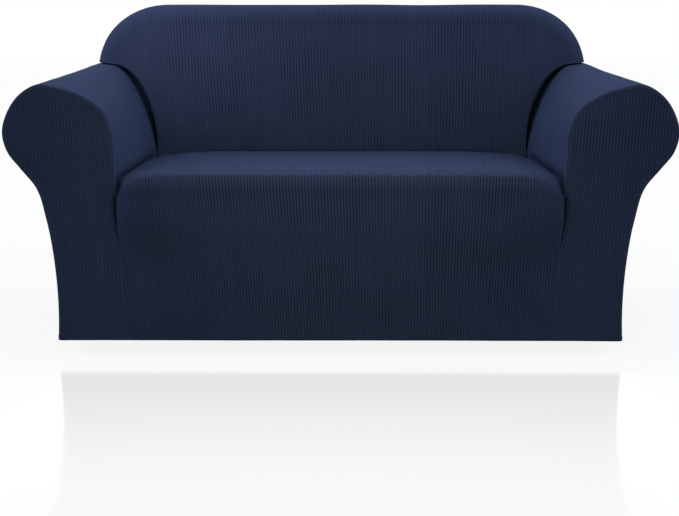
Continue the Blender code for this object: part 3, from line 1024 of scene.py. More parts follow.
    def _cloth(self, half: Array, u: Array, low_rows: int) -> Array:
        """Cloth coordinates: X and slant height on the face, then on over edge and band.

        Args:
            half: Grid of the right half.
            u: Outline position of each column.
            low_rows: Number of rows before the face.

        Returns:
            Two coordinates for each point.
        """
        last_face = low_rows + self.face_rows - 1
        slant = math.hypot(1, self.form.lean)
        cloth = np.stack([half[..., 0], half[..., 2] * slant], -1)
        _, normal = self.form.outline(np.minimum(u, self.form.at_arm))
        walked = run_length(half[last_face:])
        cloth[last_face:] = cloth[last_face] + walked[..., None] * normal[None]
        return cloth

    def _ribbed(self, cloth: Array) -> Array:
        """The same cloth coordinates with the flow of the ribs across."""
        down = self.form.top_z - cloth[..., 1]
        return np.stack([self.ribs.across(cloth[..., 0], down), cloth[..., 1]], -1)


@dataclass
class OutsideBack(Panel):
    """Flat rear panel, from the hem to the rounded top, behind both arms."""

    form: BackForm | None = None
    arm: ArmForm | None = None
    hem_rows: int = 14
    arm_rows: int = 74
    corner_rows: int = 46
    corner_start: float = 1.975
    columns: int = 131
    pucker_walk: float = 0.6

    def skin(self) -> Skin:
        """Level rows between the outlines of the arms and of the back.

        Returns:
            The panel's skin.
        """
        sizes, arm = self.sizes, self.arm
        inset = sizes.rear_edge + sizes.lip + sizes.seam_gap
        rows = joined(
            arm.hem - sizes.hem_share * crowded_start(self.hem_rows),
            np.linspace(arm.hem - sizes.hem_share, arm.joint, self.arm_rows),
        )
        outer, outer_normal = arm.rear_section(rows)
        corner, corner_normal = self.form.outline(np.linspace(self.corner_start, 1, self.corner_rows))
        side = np.concatenate([outer - outer_normal * inset, corner - corner_normal * inset])
        side[len(outer) - 1] -= (sizes.tuck_at_rear + 2 * sizes.crease_gap, sizes.crease_gap)
        shares = 2 * crowded_ends(self.columns) - 1
        x = side[:, :1] * shares
        z = np.repeat(side[:, 1:], self.columns, axis=1)
        points = np.stack([x, np.full_like(x, sizes.depth), z], -1)
        cloth = np.stack([x, z], -1)
        runs = edge_runs(points)
        away = nearest(runs, "first_column", "last_column", "last_row")
        relief = self.seam.relief(away, z + self.pucker_walk * np.abs(x)) + Hem(sizes).relief(z)
        return Skin(points, cloth, relief + self.soft_relief(cloth, away), (0, 1, 0))


@dataclass
class SeatApron(Panel):
    """Seat deck and front apron in one cut, from the rear crease to the hem."""

    form: SeatForm | None = None
    half_columns: int = 84
    turn_columns: int = 14
    share_at_turn: float = 0.945
    rear_spread: float = 0.35
    apron_depth: float = 1.08
    edge_at: float = 0.0
    row_runs: tuple[tuple[float, float, int], ...] = (
        (0.0, 1.0, 6), (1.0, 1.2, 12), (1.2, 3.0, 24), (3.0, 7.0, 62))
    low_rows: int = 50
    hem_rows: int = 16
    spread_power: float = 0.9
    gap_end_power: int = 6

    def skin(self) -> Skin:
        """Columns from the middle line to the side seams, on a crown of the row's power.

        Returns:
            The panel's skin, both halves.
        """
        form, sizes = self.form, self.sizes
        rows = joined(
            *(np.linspace(*run) for run in self.row_runs),
            np.linspace(self.row_runs[-1][1], form.hem - sizes.hem_share_seat, self.low_rows),
            form.hem - sizes.hem_share_seat * crowded_start(self.hem_rows)[::-1],
        )
        found = form.lines(rows)
        middle, side, dive = found["middle"], found["side"], found["dive"]
        power = found["power"][:, None]
        quarter = np.linspace(0, np.pi / 2, self.half_columns)
        spread = self.share_at_turn * np.sin(quarter) ** self.spread_power
        t = np.linspace(0, 1, self.turn_columns)
        open_gap = found["gap"][:, None] * (1 - t**self.gap_end_power)
        share = np.hstack([
            np.broadcast_to(spread, (len(rows), len(spread))),
            1 - (sizes.seat_turn * (1 - t) ** 2 + open_gap) / side[:, :1],
        ])
        crown = (1 - np.abs(share) ** power)[..., None]
        yz = side[:, None, 1:] + (middle - side[:, 1:])[:, None, :] * crown
        half = np.concatenate([(side[:, :1] * share)[..., None], yz], -1)
        turned = np.concatenate([np.zeros(len(spread)), t**sizes.dive_power])
        half = half + dive[:, None, :] * turned[None, :, None]
        down = run_length(middle)[:, None]
        cloth = np.stack([half[..., 0], np.broadcast_to(down, share.shape)], -1)
        self.edge_at = float(np.interp(self.form.face, rows, down[:, 0]))
        runs = edge_runs(half)
        flat = soft_step(rows - form.groove_end)[:, None]
        relief = self.seam.relief(runs["last_column"], down, flat)
        relief = relief + Hem(sizes).relief(half[..., 2])
        away = nearest(runs, "first_row", "last_column")
        points = mirrored_grid(half, MIRRORED)
        cloth = mirrored_grid(cloth, MIRRORED[:2])
        relief = mirrored_grid(relief) + self.soft_relief(cloth, mirrored_grid(away))
        front = soft_step(2 * (rows - self.form.face + 1))[:, None]
        depth = 1 + (self.apron_depth - 1) * front
        return Skin(points, self._ribbed(cloth, points), relief, (0, -1, 0), rib_depth=depth)

    def _ribbed(self, cloth: Array, points: Array) -> Array:
        """The same coordinates with the flow of the ribs, which spread towards the rear.

        Args:
            cloth: Plain cloth coordinates of both halves.
            points: Grid of both halves.

        Returns:
            Two coordinates for each point.
        """
        down = np.maximum(cloth[..., 1] - self.edge_at, 0)
        across = self.ribs.across(cloth[..., 0], down)
        across /= 1 + self.rear_spread * np.maximum(points[..., 1], 0)
        return np.stack([across, cloth[..., 1]], -1)


@dataclass
class ArmCover(Panel):
    """Inner arm, over the roll and down the outer side to the hem."""

    arm: ArmForm | None = None
    seat: SeatForm | None = None
    foot_rows: int = 14
    inner_rows: int = 52
    top_rows: int = 14
    outer_rows: int = 88
    hem_rows: int = 14
    straight_columns: int = 84
    round_columns: int = 9
    below_rows: int = 5
    foot_row: float = 0.5
    crest_row: float = 5.0

    def skin(self) -> Skin:
        """Straight lines from the outline on the front to the back's line or the rear seam.

        Returns:
            The right arm's skin.
        """
        sizes, arm = self.sizes, self.arm
        rows = joined(
            np.linspace(0, self.foot_row, self.foot_rows),
            np.linspace(self.foot_row, self.crest_row, self.inner_rows),
            np.linspace(self.crest_row, arm.joint, self.top_rows),
            np.linspace(arm.joint, arm.hem - sizes.hem_share, self.outer_rows),
            arm.hem - sizes.hem_share * crowded_start(self.hem_rows)[::-1],
        )
        front, normal = arm.section(arm.front, rows)
        start = np.insert(front, 1, sizes.front_edge, axis=1)
        outer = rows >= arm.joint
        inner = rows <= arm.joint
        rear, dive = np.zeros_like(start), np.zeros_like(start)
        rear[inner], dive[inner] = arm.back.arm_line(rows[inner])
        rear_points, rear_normal = arm.rear_section(rows[outer])
        rear[outer] = np.insert(rear_points, 1, sizes.depth - sizes.rear_edge, axis=1)
        rounding = np.zeros((len(rows), 2))
        rounding[outer] = rear_normal
        share = np.linspace(0, 1, self.straight_columns)[None, :, None]
        body = start[:, None] + (rear - start)[:, None] * share
        rise = (body[..., 2] - body[:1, :, 2]) / sizes.undercut_height
        drawn = arm.undercut(body[..., 1]) * np.clip(1 - rise, 0, 1) ** 2
        body[..., 0] += drawn * inner[:, None]
        head = self._head(rows, front, normal)
        tail = self._tail(rear, dive, rounding, outer)
        skin = np.concatenate([head, body, tail], axis=1)
        below = self._below(skin[0])
        skin = np.concatenate([below, skin])
        cloth = self._cloth(skin, start, len(below))
        down = cloth[:, :1, 1]
        runs = edge_runs(skin)
        rear_share = np.concatenate([np.zeros(len(below)), outer.astype(float)])[:, None]
        relief = self.seam.relief(runs["first_column"], down)
        relief = relief + self.seam.relief(runs["last_column"], down, rear_share)
        relief = relief + Hem(sizes).relief(skin[..., 2])
        away = nearest(runs, "first_column", "last_column", "first_row")
        relief = relief + self.soft_relief(cloth, away)
        return Skin(skin, cloth, relief, (0.5, 0, 1), skin[..., 1] < ON_FACE)

    def _head(self, rows: Array, front: Array, normal: Array) -> Array:
        """The front edge: a flat lip on the face, then a quarter turn of the edge's radius.

        Args:
            rows: Row numbers.
            front: X and Z of the outline on the front.
            normal: Its outward normals.

        Returns:
            Columns before the straight lines.
        """
        sizes, edge = self.sizes, self.sizes.front_edge
        lip = self.arm.front_lip(rows)[:, None] * np.linspace(1, 0, sizes.lip_steps + 1)[:-1]
        turn = np.linspace(0, np.pi / 2, self.round_columns)[:-1]
        inset = np.hstack([edge + lip, np.tile(edge * (1 - np.sin(turn)), (len(rows), 1))])
        depth = np.append(np.zeros(sizes.lip_steps), edge * (1 - np.cos(turn)))
        head = front[:, None, :] - normal[:, None, :] * inset[..., None]
        return np.stack([head[..., 0], np.broadcast_to(depth, inset.shape), head[..., 1]], -1)

    def _cloth(self, skin: Array, start: Array, below: int) -> Array:
        """Cloth coordinates: length across from the face's edge, and down the front outline.

        Args:
            skin: The whole grid.
            start: Points in which the straight lines start.
            below: Number of rows below the seat crease.

        Returns:
            Two coordinates for each point.
        """
        sizes = self.sizes
        down = run_length(np.concatenate([start[:1] - (0, 0, sizes.tuck), start]))
        down = np.concatenate([np.linspace(down[0], down[1], below + 1)[:-1], down[1:]])
        first = sizes.lip_steps + self.round_columns - 1
        walked = run_length(skin.swapaxes(0, 1)).swapaxes(0, 1)
        across = walked - walked[:, first : first + 1] + sizes.front_edge
        across[:below] = across[below]
        return np.stack([across, np.broadcast_to(down[:, None], across.shape)], -1)

    def _tail(self, rear: Array, dive: Array, rounding: Array, outer: Array) -> Array:
        """The rear edge: rounded with a flat lip at the seam, or dived behind the back's line.

        Args:
            rear: Points of the rear line.
            dive: Full dive at each.
            rounding: Normal of the rear outline at each, zero beside the back.
            outer: Which rows end at the rear seam.

        Returns:
            Columns after the rear line.
        """
        inset, depth = self.sizes.rear_rounding()
        share = np.linspace(0, 1, len(inset) + 1)[1:]
        tail = rear[:, None] + dive[:, None] * share[None, :, None]
        tail[..., 0] -= rounding[:, :1] * inset
        tail[..., 2] -= rounding[:, 1:] * inset
        tail[outer, :, 1] = depth
        return tail

    def _below(self, foot: Array) -> Array:
        """The strip below the seat crease, tucked down and cut to the seat round the corner.

        Args:
            foot: Points along the seat crease.

        Returns:
            Rows of points from the strip's lower edge up to the crease.
        """
        sizes = self.sizes
        below = foot - (0, 0, sizes.tuck)
        rounded = below[:, 1] < sizes.front_edge
        height = self.seat.seam_height(below[:, 1]) + sizes.foot_gap
        below[rounded, 2] = height[rounded]
        lips = sizes.lip_steps
        below[:lips, 0] = below[lips, 0] + np.linspace(1, 0, lips + 1)[:-1] * sizes.seam_gap
        shares = np.linspace(0, 1, self.below_rows)[:-1, None, None]
        return below[None] + (foot - below)[None] * shares


@dataclass
class ArmFront(Panel):
    """Scroll-shaped face of an arm, flush with the arm cover and turned in at the seat."""

    arm: ArmForm | None = None
    seat: SeatForm | None = None
    hem_rows: int = 14
    low_rows: int = 52
    bridge_rows: int = 8
    high_rows: int = 34
    columns: int = 56
    turn_columns: int = 8
    narrow: float = 0.15
    shoulder: float = 10 / 3
    crest: float = 35 / 6
    fan_x: float = 0.75
    shin_spread: float = 1.2
    shin_z: tuple[float, float] = (0.18, 0.56)
    shin_depth: float = 0.5
    lean: float = 0.05
    lean_z: float = 0.28
    fall_power: int = 3
    pucker_walk: float = 0.5
    edge_steps: int = 900
    crest_steps: int = 300

    def _on_roll(self, points: Array) -> Array:
        """0 on the shin and 1 on the roll, with an S-curve between the two heights."""
        low, high = self.shin_z
        return soft_step((points[..., 2] - low) / (high - low))

    def _ribbed(self, points: Array) -> Array:
        """Ribs close together on the roll, apart on the shin, and leaning in towards the seat.

        Args:
            points: Grid of the panel.

        Returns:
            Two cloth coordinates for each point.
        """
        spread = self.shin_spread + (self.ribs.spread - self.shin_spread) * self._on_roll(points)
        lean = self.lean * np.maximum(points[..., 2] - self.lean_z, 0)
        across = self.fan_x + (points[..., 0] - lean - self.fan_x) / spread
        return np.stack([across, points[..., 2]], -1)

    def skin(self) -> Skin:
        """A strip that turns in beside the seat, then the flat cloth.

        Returns:
            The right arm's skin.
        """
        sizes = self.sizes
        rows = joined(
            self.seat.hem - sizes.hem_share_seat * crowded_start(self.hem_rows),
            np.linspace(self.seat.hem - sizes.hem_share_seat, self.seat.face, self.low_rows),
        )
        edge, into, deep = self._seat_side(rows)
        patch, outer = self._flat(edge + into)
        t = np.linspace(1, 0, self.turn_columns)[:-1]
        turned = edge[:, None] + into[:, None] * ((1 - t) ** 2)[None, :, None]
        turned = np.insert(turned, 1, deep[:, None] * t**sizes.dive_power, axis=2)
        points = np.concatenate([turned, np.insert(patch, 1, 0.0, axis=2)], axis=1)
        cloth = points[..., [0, 2]]
        runs = edge_runs(points)
        sewn_flat = np.ones((len(edge), 1))
        sewn_flat[: len(rows), 0] = soft_step(rows - self.seat.groove_end)
        length = run_length(outer)[:, None]
        away = nearest(runs, "last_column", "last_row")
        relief = self.seam.relief(away, length + self.pucker_walk * points[..., 0])
        relief = relief + self.seam.relief(runs["first_column"], length, sewn_flat)
        relief = relief + Hem(sizes).relief(points[..., 2])
        relief = relief + self.soft_relief(cloth, np.minimum(away, runs["first_column"]))
        depth = self.shin_depth + (1 - self.shin_depth) * self._on_roll(points)
        forward = points[..., 1] < ON_FACE
        return Skin(points, self._ribbed(points), relief, (0, -1, 0), forward, depth)

    def _seat_side(self, rows: Array) -> tuple[Array, Array, Array]:
        """The edge beside the seat and on up to the shoulder, with how it turns in.

        Args:
            rows: Row numbers of the seat, from the hem up to its face.

        Returns:
            X and Z of the edge, the way from there to the flat cloth, and how deep it lies.
        """
        sizes, arm = self.sizes, self.arm
        found = self.seat.lines(rows)
        low = found["side"][:, [0, 2]] + (2 * sizes.seam_gap, 0)
        up_rows = self.shoulder * np.sin(np.linspace(0, np.pi / 2, self.high_rows))
        high = arm.face_edge(up_rows)
        _, high_normal = arm.section(arm.front, up_rows)
        bridge = np.linspace(0, 1, self.bridge_rows + 2)[1:-1, None]
        edge = np.concatenate([low, low[-1] + (high[0] - low[-1]) * bridge, high])
        fall = (1 - bridge) ** self.fall_power
        into_low = np.concatenate([np.ones((len(low), 1)), self.narrow + (1 - self.narrow) * fall])
        into = np.concatenate([into_low * (1.0, 0.0), -high_normal * self.narrow])
        deep = found["dive"][:, 1]
        deep = np.concatenate([deep, deep[-1] * fall[:, 0], np.zeros(self.high_rows)])
        return edge, into * sizes.arm_front_turn, deep

    def _flat(self, left: Array) -> tuple[Array, Array]:
        """The flat cloth: a blended patch whose rows run level through the hem.

        Args:
            left: X and Z where the flat cloth starts, from the hem to the shoulder.

        Returns:
            Grid of X and Z, and the outer edge.
        """
        arm = self.arm
        outer = arm.face_edge(np.linspace(arm.hem, self.crest, self.edge_steps))
        left_run = run_length(left)
        hem_run = left_run[self.hem_rows - 1]
        rest = (run_length(outer)[-1] - hem_run) / (left_run[-1] - hem_run)
        right_run = hem_run + (left_run - hem_run) * np.where(left_run > hem_run, rest, 1)
        right = at_lengths(outer, right_run)
        u = crowded_ends(self.columns)
        crest = arm.face_edge(np.linspace(self.shoulder, self.crest, self.crest_steps))
        crest[0] = left[-1]
        top = at_lengths(crest, run_length(crest)[-1] * u)
        bottom = left[0] + (right[0] - left[0]) * u[:, None]
        return blended_patch(left, right, bottom, top, u, left_run / left_run[-1]), right


# ------------------------------------------------------------------ finishes


class Nodes:
    """Small helper that adds and links nodes in one tree."""

    def __init__(self, tree: bpy.types.NodeTree) -> None:
        """Keep the node tree of a material, a world or a group."""
        self.tree = tree

    def add(self, kind: str, **values: object) -> bpy.types.Node:
        """Add a node, set its properties and fill or link its inputs.

        Args:
            kind: Blender's name of the node's type.
            **values: Properties by name, or inputs as in_NAME or in_NUMBER.

        Returns:
            The new node.
        """
        node = self.tree.nodes.new(kind)
        for key, value in values.items():
            if not key.startswith("in_"):
                setattr(node, key, value)
        for key, value in values.items():
            if key.startswith("in_"):
                name = key[3:].replace("_", " ")
                socket = node.inputs[int(name)] if name.isdigit() else node.inputs[name]
                self.feed(socket, value)
        return node

    def feed(self, socket: bpy.types.NodeSocket, value: object) -> None:
        """Link a socket to an output, or give it a plain value."""
        if isinstance(value, bpy.types.NodeSocket):
            self.tree.links.new(value, socket)
        else:
            socket.default_value = value

    def calc(self, kind: str, a: object, b: object = 0.0) -> bpy.types.NodeSocket:
        """One arithmetic step, such as POWER, of two numbers or sockets."""
        return self.add("ShaderNodeMath", operation=kind, in_0=a, in_1=b).outputs[0]

    def times(self, a: object, *others: object) -> bpy.types.NodeSocket:
        """Product of numbers or sockets, from the left."""
        for other in others:
            a = self.calc("MULTIPLY", a, other)
        return a

    def plus(self, a: object, b: object) -> bpy.types.NodeSocket:
        """Sum of two numbers or sockets."""
        return self.calc("ADD", a, b)

    def minus(self, a: object, b: object) -> bpy.types.NodeSocket:
        """Difference of two numbers or sockets."""
        return self.calc("SUBTRACT", a, b)

    def fraction(self, a: object) -> bpy.types.NodeSocket:
        """What a number exceeds the whole number below it by."""
        return self.minus(a, self.calc("FLOOR", a))

    def from_middle(self, a: object) -> bpy.types.NodeSocket:
        """Distance of a number from 0.5."""
        return self.calc("ABSOLUTE", self.minus(a, 0.5))

    def part(self, vector: object, name: str) -> bpy.types.NodeSocket:
        """X, Y or Z of a vector."""
        return self.add("ShaderNodeSeparateXYZ", in_0=vector).outputs[name]

    def noise(self, vector: object, scale: float, detail: float,
              roughness: float = 0.5) -> bpy.types.NodeSocket:
        """Soft noise about 0.5, of the given scale, detail and roughness."""
        return self.add("ShaderNodeTexNoise", in_Vector=vector, in_Scale=scale, in_Detail=detail,
                        in_Roughness=roughness).outputs["Fac"]

    def ramp(self, value: object, low: object, high: object,
             to_low: object = 0.0, to_high: object = 1.0) -> bpy.types.NodeSocket:
        """A smooth S-curve from one value to another.

        Args:
            value: Number that is read.
            low: Where the curve starts.
            high: Where it ends.
            to_low: Result up to low.
            to_high: Result from high.

        Returns:
            The result's socket.
        """
        return self.add("ShaderNodeMapRange", interpolation_type="SMOOTHSTEP", in_0=value, in_1=low,
                        in_2=high, in_3=to_low, in_4=to_high).outputs[0]


def shader_group(name: str, vectors: Sequence[str], numbers: dict[str, float],
                 outputs: Sequence[str]) -> tuple[Nodes, dict, dict]:
    """An empty shader node group with named sockets.

    Args:
        name: Name of the group.
        vectors: Names of the vector inputs.
        numbers: First value of each number input, by name.
        outputs: Names of the outputs, all numbers.

    Returns:
        Its nodes, its input sockets and its output sockets, by name.
    """
    tree = bpy.data.node_groups.new(name, "ShaderNodeTree")
    for label in vectors:
        tree.interface.new_socket(label, in_out="INPUT", socket_type="NodeSocketVector")
    for label, value in numbers.items():
        socket = tree.interface.new_socket(label, in_out="INPUT", socket_type="NodeSocketFloat")
        socket.default_value = value
    for label in outputs:
        tree.interface.new_socket(label, in_out="OUTPUT", socket_type="NodeSocketFloat")
    entry = tree.nodes.new("NodeGroupInput")
    leave = tree.nodes.new("NodeGroupOutput")
    return Nodes(tree), dict(entry.outputs.items()), dict(leave.inputs.items())


def new_finish(name: str) -> tuple[bpy.types.Material, Nodes, bpy.types.Node]:
    """A new material, its nodes and its Principled shader."""
    material = bpy.data.materials.new(name)
    material.use_nodes = True
    return material, Nodes(material.node_tree), material.node_tree.nodes["Principled BSDF"]


@dataclass(frozen=True)
class RibLines:
    """The ribs: rounded ridges with narrow grooves between, a little unlike each other."""

    pitch: float = 0.0079
    groove: float = 0.45
    waver: float = 0.0005
    waver_scale: float = 9.0
    waver_gain: float = 4.0
    ridge_power: float = 3.0

    def group(self) -> bpy.types.NodeTree:
        """Node group from cloth coordinates to the ribs' height, groove and own shade.

        The place across, less the number of the rib, is turned into the distance from the rib's
        middle. Height is 1 less its power, and the groove is an S-curve in its last part.

        Returns:
            Group with the outputs Height, Groove and Shade.
        """
        nodes, given, out = shader_group(
            "rib_lines", ("Cloth",),
            {"Pitch": self.pitch, "Groove": self.groove, "Waver": self.waver},
            ("Height", "Groove", "Shade"),
        )
        off = nodes.minus(nodes.noise(given["Cloth"], self.waver_scale, 2.0), 0.5)
        off = nodes.times(off, nodes.times(given["Waver"], self.waver_gain))
        count = nodes.calc("DIVIDE", nodes.plus(nodes.part(given["Cloth"], "X"), off), given["Pitch"])
        away = nodes.times(nodes.from_middle(nodes.fraction(count)), 2.0)
        number = nodes.add("ShaderNodeCombineXYZ", in_0=nodes.calc("FLOOR", count))
        own = nodes.add("ShaderNodeTexWhiteNoise", in_Vector=number.outputs[0])
        nodes.feed(out["Height"], nodes.minus(1.0, nodes.calc("POWER", away, self.ridge_power)))
        # Groove masks the painted shade between the ribs in the knit's colour.
        nodes.feed(out["Groove"], nodes.ramp(away, nodes.minus(1.0, given["Groove"]), 1.0))
        nodes.feed(out["Shade"], own.outputs["Value"])
        return nodes.tree


@dataclass(frozen=True)
class KnitLoops:
    """The loops of the knit: slanted stitches in columns, with hairs of uneven shade."""

    wale: float = 0.00125
    course: float = 0.0011
    slant: float = 0.9
    wave_share: float = 0.35
    fibres: tuple[float, float, float] = (900.0, 260.0, 1.0)
    fibre_roughness: float = 0.6

    def group(self) -> bpy.types.NodeTree:
        """Node group from cloth coordinates to the loops' height and the yarn's shade.

        Height is a half sine over each column, times a sine that climbs the column and slants
        away from its middle.

        Returns:
            Group with the outputs Height and Fibre.
        """
        nodes, given, out = shader_group(
            "knit_loops", ("Cloth",),
            {"Wale": self.wale, "Course": self.course, "Slant": self.slant},
            ("Height", "Fibre"),
        )
        across = nodes.calc("DIVIDE", nodes.part(given["Cloth"], "X"), given["Wale"])
        away = nodes.from_middle(nodes.fraction(across))
        up = nodes.calc("DIVIDE", nodes.part(given["Cloth"], "Y"), given["Course"])
        phase = nodes.plus(up, nodes.times(away, given["Slant"]))
        wave = nodes.calc("SINE", nodes.times(phase, 2 * math.pi))
        column = nodes.calc("SINE", nodes.times(away, 2 * math.pi))
        wave = nodes.plus(nodes.times(wave, self.wave_share), 1 - self.wave_share)
        stretched = nodes.add("ShaderNodeMapping", in_Vector=given["Cloth"], in_Scale=self.fibres)
        nodes.feed(out["Height"], nodes.times(column, wave))
        nodes.feed(out["Fibre"], nodes.noise(stretched.outputs[0], 1.0, 3.0, self.fibre_roughness))
        return nodes.tree


@dataclass(frozen=True)
class StitchLine:
    """A row of hem stitches at one height: short threads with gaps between."""

    height: float = CoverSizes.hem_stitch_z
    length: float = 0.0032
    width: float = 0.0011
    core: float = 0.35
    thread_end: tuple[float, float] = (0.27, 0.39)

    def group(self) -> bpy.types.NodeTree:
        """Node group from cloth coordinates and place to the mask of the threads.

        Returns:
            Group with the output Thread.
        """
        nodes, given, out = shader_group(
            "hem_stitches", ("Cloth", "Place"),
            {"Height": self.height - float(HELD_AT[2]), "Length": self.length, "Width": self.width},
            ("Thread",),
        )
        off = nodes.calc("ABSOLUTE", nodes.minus(nodes.part(given["Place"], "Z"), given["Height"]))
        band = nodes.ramp(off, nodes.times(given["Width"], self.core), given["Width"], 1.0, 0.0)
        count = nodes.calc("DIVIDE", nodes.part(given["Cloth"], "X"), given["Length"])
        dash = nodes.ramp(nodes.from_middle(nodes.fraction(count)), *self.thread_end, 1.0, 0.0)
        nodes.feed(out["Thread"], nodes.times(band, dash))
        return nodes.tree


@dataclass(frozen=True)
class RibbedKnit:
    """Navy stretch knit with fine ribs, soft and matt, with a faint bloom at grazing angles.

    The dark grooves are painted shade, in broad patches and by each panel's own rib depth, and
    painted light lifts them on faces that look up. Faces that turn out at the sides get painted
    shade where they are seen at a grazing angle.
    """

    ridge: Colour = (0.0315, 0.0465, 0.1130, 1.0)
    # Painted shade: the grooves' colour stands for the shadow between the ribs.
    groove: Colour = (0.0080, 0.0120, 0.0300, 1.0)
    roughness: float = 0.88
    fibre_roughness: float = 0.12
    specular: float = 0.03
    sheen: float = 0.01
    sheen_roughness: float = 0.45
    sheen_tint: Colour = (0.45, 0.58, 1.0, 1.0)
    rib_height: float = 0.0009
    loop_height: float = 0.00016
    thread_height: float = 3.0
    thread_shade: float = 0.35
    dye_scale: float = 5.0
    dye_drift: float = 0.05
    rib_drift: float = 0.04
    fibre_drift: float = 0.22
    looks_up: tuple[float, float] = (0.25, 0.85)
    # How much painted light lifts the grooves' painted shade on faces that look up.
    lit_from_above_fade: float = 0.65
    patch_scale: float = 7.0
    patch_noise: tuple[float, float] = (0.32, 0.68)
    patch_low: float = 0.50
    # Painted shade at the side rims, where faces are seen at a grazing angle.
    painted_rim_angle: tuple[float, float] = (0.55, 0.95)
    painted_rim_side: tuple[float, float] = (0.1, 0.4)
    painted_rim_shade: float = 0.55
    ribs: RibLines = RibLines()
    loops: KnitLoops = KnitLoops()
    stitches: StitchLine = StitchLine()

    def groups(self) -> dict[str, bpy.types.NodeTree]:
        """Build the three node groups once."""
        return {"ribs": self.ribs.group(), "loops": self.loops.group(),
                "stitches": self.stitches.group()}

    def material(self, name: str, groups: dict[str, bpy.types.NodeTree]) -> bpy.types.Material:
        """The knit as a material, read along the cloth's own map.

        Args:
            name: Name of the material.
            groups: The node groups, built once for all panels.

        Returns:
            The new material.
        """
        material, nodes, shader = new_finish(name)
        material.diffuse_color = self.ridge
        shader.inputs["Metallic"].default_value = 0.0
        shader.inputs["Specular IOR Level"].default_value = self.specular
        shader.inputs["Sheen Weight"].default_value = self.sheen
        shader.inputs["Sheen Roughness"].default_value = self.sheen_roughness
        shader.inputs["Sheen Tint"].default_value = self.sheen_tint
        cloth = nodes.add("ShaderNodeUVMap", uv_map=CLOTH_MAP).outputs["UV"]
        place = nodes.add("ShaderNodeTexCoord").outputs["Object"]
        ribs = nodes.add("ShaderNodeGroup", node_tree=groups["ribs"], in_Cloth=cloth).outputs
        loops = nodes.add("ShaderNodeGroup", node_tree=groups["loops"], in_Cloth=cloth).outputs
        thread = nodes.add("ShaderNodeGroup", node_tree=groups["stitches"], in_Cloth=cloth,
                           in_Place=place).outputs["Thread"]
        normal = nodes.add("ShaderNodeNewGeometry").outputs["Normal"]
        up = nodes.ramp(nodes.part(normal, "Z"), *self.looks_up)
        depth = nodes.add("ShaderNodeAttribute", attribute_name=RIB_DEPTH).outputs["Fac"]
        # Painted shade in the grooves: the groove mask, lifted by painted light on faces that look up.
        groove = nodes.times(ribs["Groove"], self._groove_shade_strength(nodes, up, place, depth))
        colour = nodes.add("ShaderNodeMix", data_type="RGBA", in_0=groove, in_A=self.ridge,
                           in_B=self.groove)
        tinted = nodes.add("ShaderNodeVectorMath", operation="SCALE", in_0=colour.outputs["Result"])
        # Random tone of dye, ribs and yarn, lighter hem threads, and painted shade at the side rims.
        shade = nodes.times(self._drift(nodes, nodes.noise(place, self.dye_scale, 3.0), self.dye_drift),
                            self._drift(nodes, ribs["Shade"], self.rib_drift),
                            self._drift(nodes, loops["Fibre"], self.fibre_drift),
                            nodes.plus(nodes.times(thread, self.thread_shade), 1.0),
                            self._painted_rim(nodes, up, normal, place))
        nodes.feed(tinted.inputs["Scale"], shade)
        nodes.feed(shader.inputs["Base Color"], tinted.outputs["Vector"])
        rough = nodes.plus(nodes.times(loops["Fibre"], self.fibre_roughness),
                           self.roughness - self.fibre_roughness / 2)
        nodes.feed(shader.inputs["Roughness"], rough)
        rib_bump = nodes.add("ShaderNodeBump", in_Strength=1.0, in_Distance=self.rib_height,
                             in_Height=nodes.times(ribs["Height"], depth))
        threaded = nodes.plus(loops["Height"], nodes.times(thread, self.thread_height))
        loop_bump = nodes.add("ShaderNodeBump", in_Strength=1.0, in_Distance=self.loop_height,
                              in_Height=threaded, in_Normal=rib_bump.outputs["Normal"])
        nodes.feed(shader.inputs["Normal"], loop_bump.outputs["Normal"])
        return material

    def _groove_shade_strength(self, nodes: Nodes, up: object, place: object, depth: object) -> object:
        """How strong the painted shade in the grooves is: less on faces that look up, as painted
        light, in patches, and by the rib depth.

        Args:
            nodes: Nodes of the material.
            up: How far the face looks up, from 0 to 1.
            place: Object coordinates.
            depth: Rib depth of the panel.

        Returns:
            The product of the three.
        """
        patch = nodes.ramp(nodes.noise(place, self.patch_scale, 2.0), *self.patch_noise,
                           self.patch_low, 1.0)
        return nodes.times(nodes.minus(1.0, nodes.times(up, self.lit_from_above_fade)), patch, depth)

    def _painted_rim(self, nodes: Nodes, up: object, normal: object, place: object) -> object:
        """Painted shade of faces seen at a grazing angle where they turn out at the sides.

        Args:
            nodes: Nodes of the material.
            up: How far the face looks up, from 0 to 1.
            normal: Normal of the face.
            place: Object coordinates.

        Returns:
            A factor from 1 down to 1 less the painted rim shade.
        """
        facing = nodes.add("ShaderNodeLayerWeight", in_Blend=0.5).outputs["Facing"]
        outwards = nodes.times(nodes.part(place, "X"), nodes.part(normal, "X"))
        rim = nodes.times(nodes.ramp(facing, *self.painted_rim_angle), nodes.minus(1.0, up),
                          nodes.ramp(outwards, *self.painted_rim_side))
        return nodes.minus(1.0, nodes.times(rim, self.painted_rim_shade))

    @staticmethod
    def _drift(nodes: Nodes, value: bpy.types.NodeSocket, reach: float) -> bpy.types.NodeSocket:
        """Turn a value about 0.5 into a factor about 1: 1 + (value - 0.5) x 2 x reach."""
        return nodes.plus(nodes.times(value, 2 * reach), 1 - reach)


# ------------------------------------------------------------------ studio


@dataclass(frozen=True)
class Lamp:
    """A distant soft light: heading 0 comes from the front, 90 from the right."""

    name: str
    power: float
    spread: float
    height: float
    heading: float
    tint: tuple[float, float, float]

    def set_up(self) -> None:
        """Add the lamp to the scene, turned so that its light comes from its heading."""
        data = bpy.data.lights.new(self.name, "SUN")
        data.energy = self.power
        data.angle = math.radians(self.spread)
        data.color = self.tint
        lamp = placed(self.name, data)
        lamp.rotation_euler = (math.radians(90 - self.height), 0.0, math.radians(self.heading))


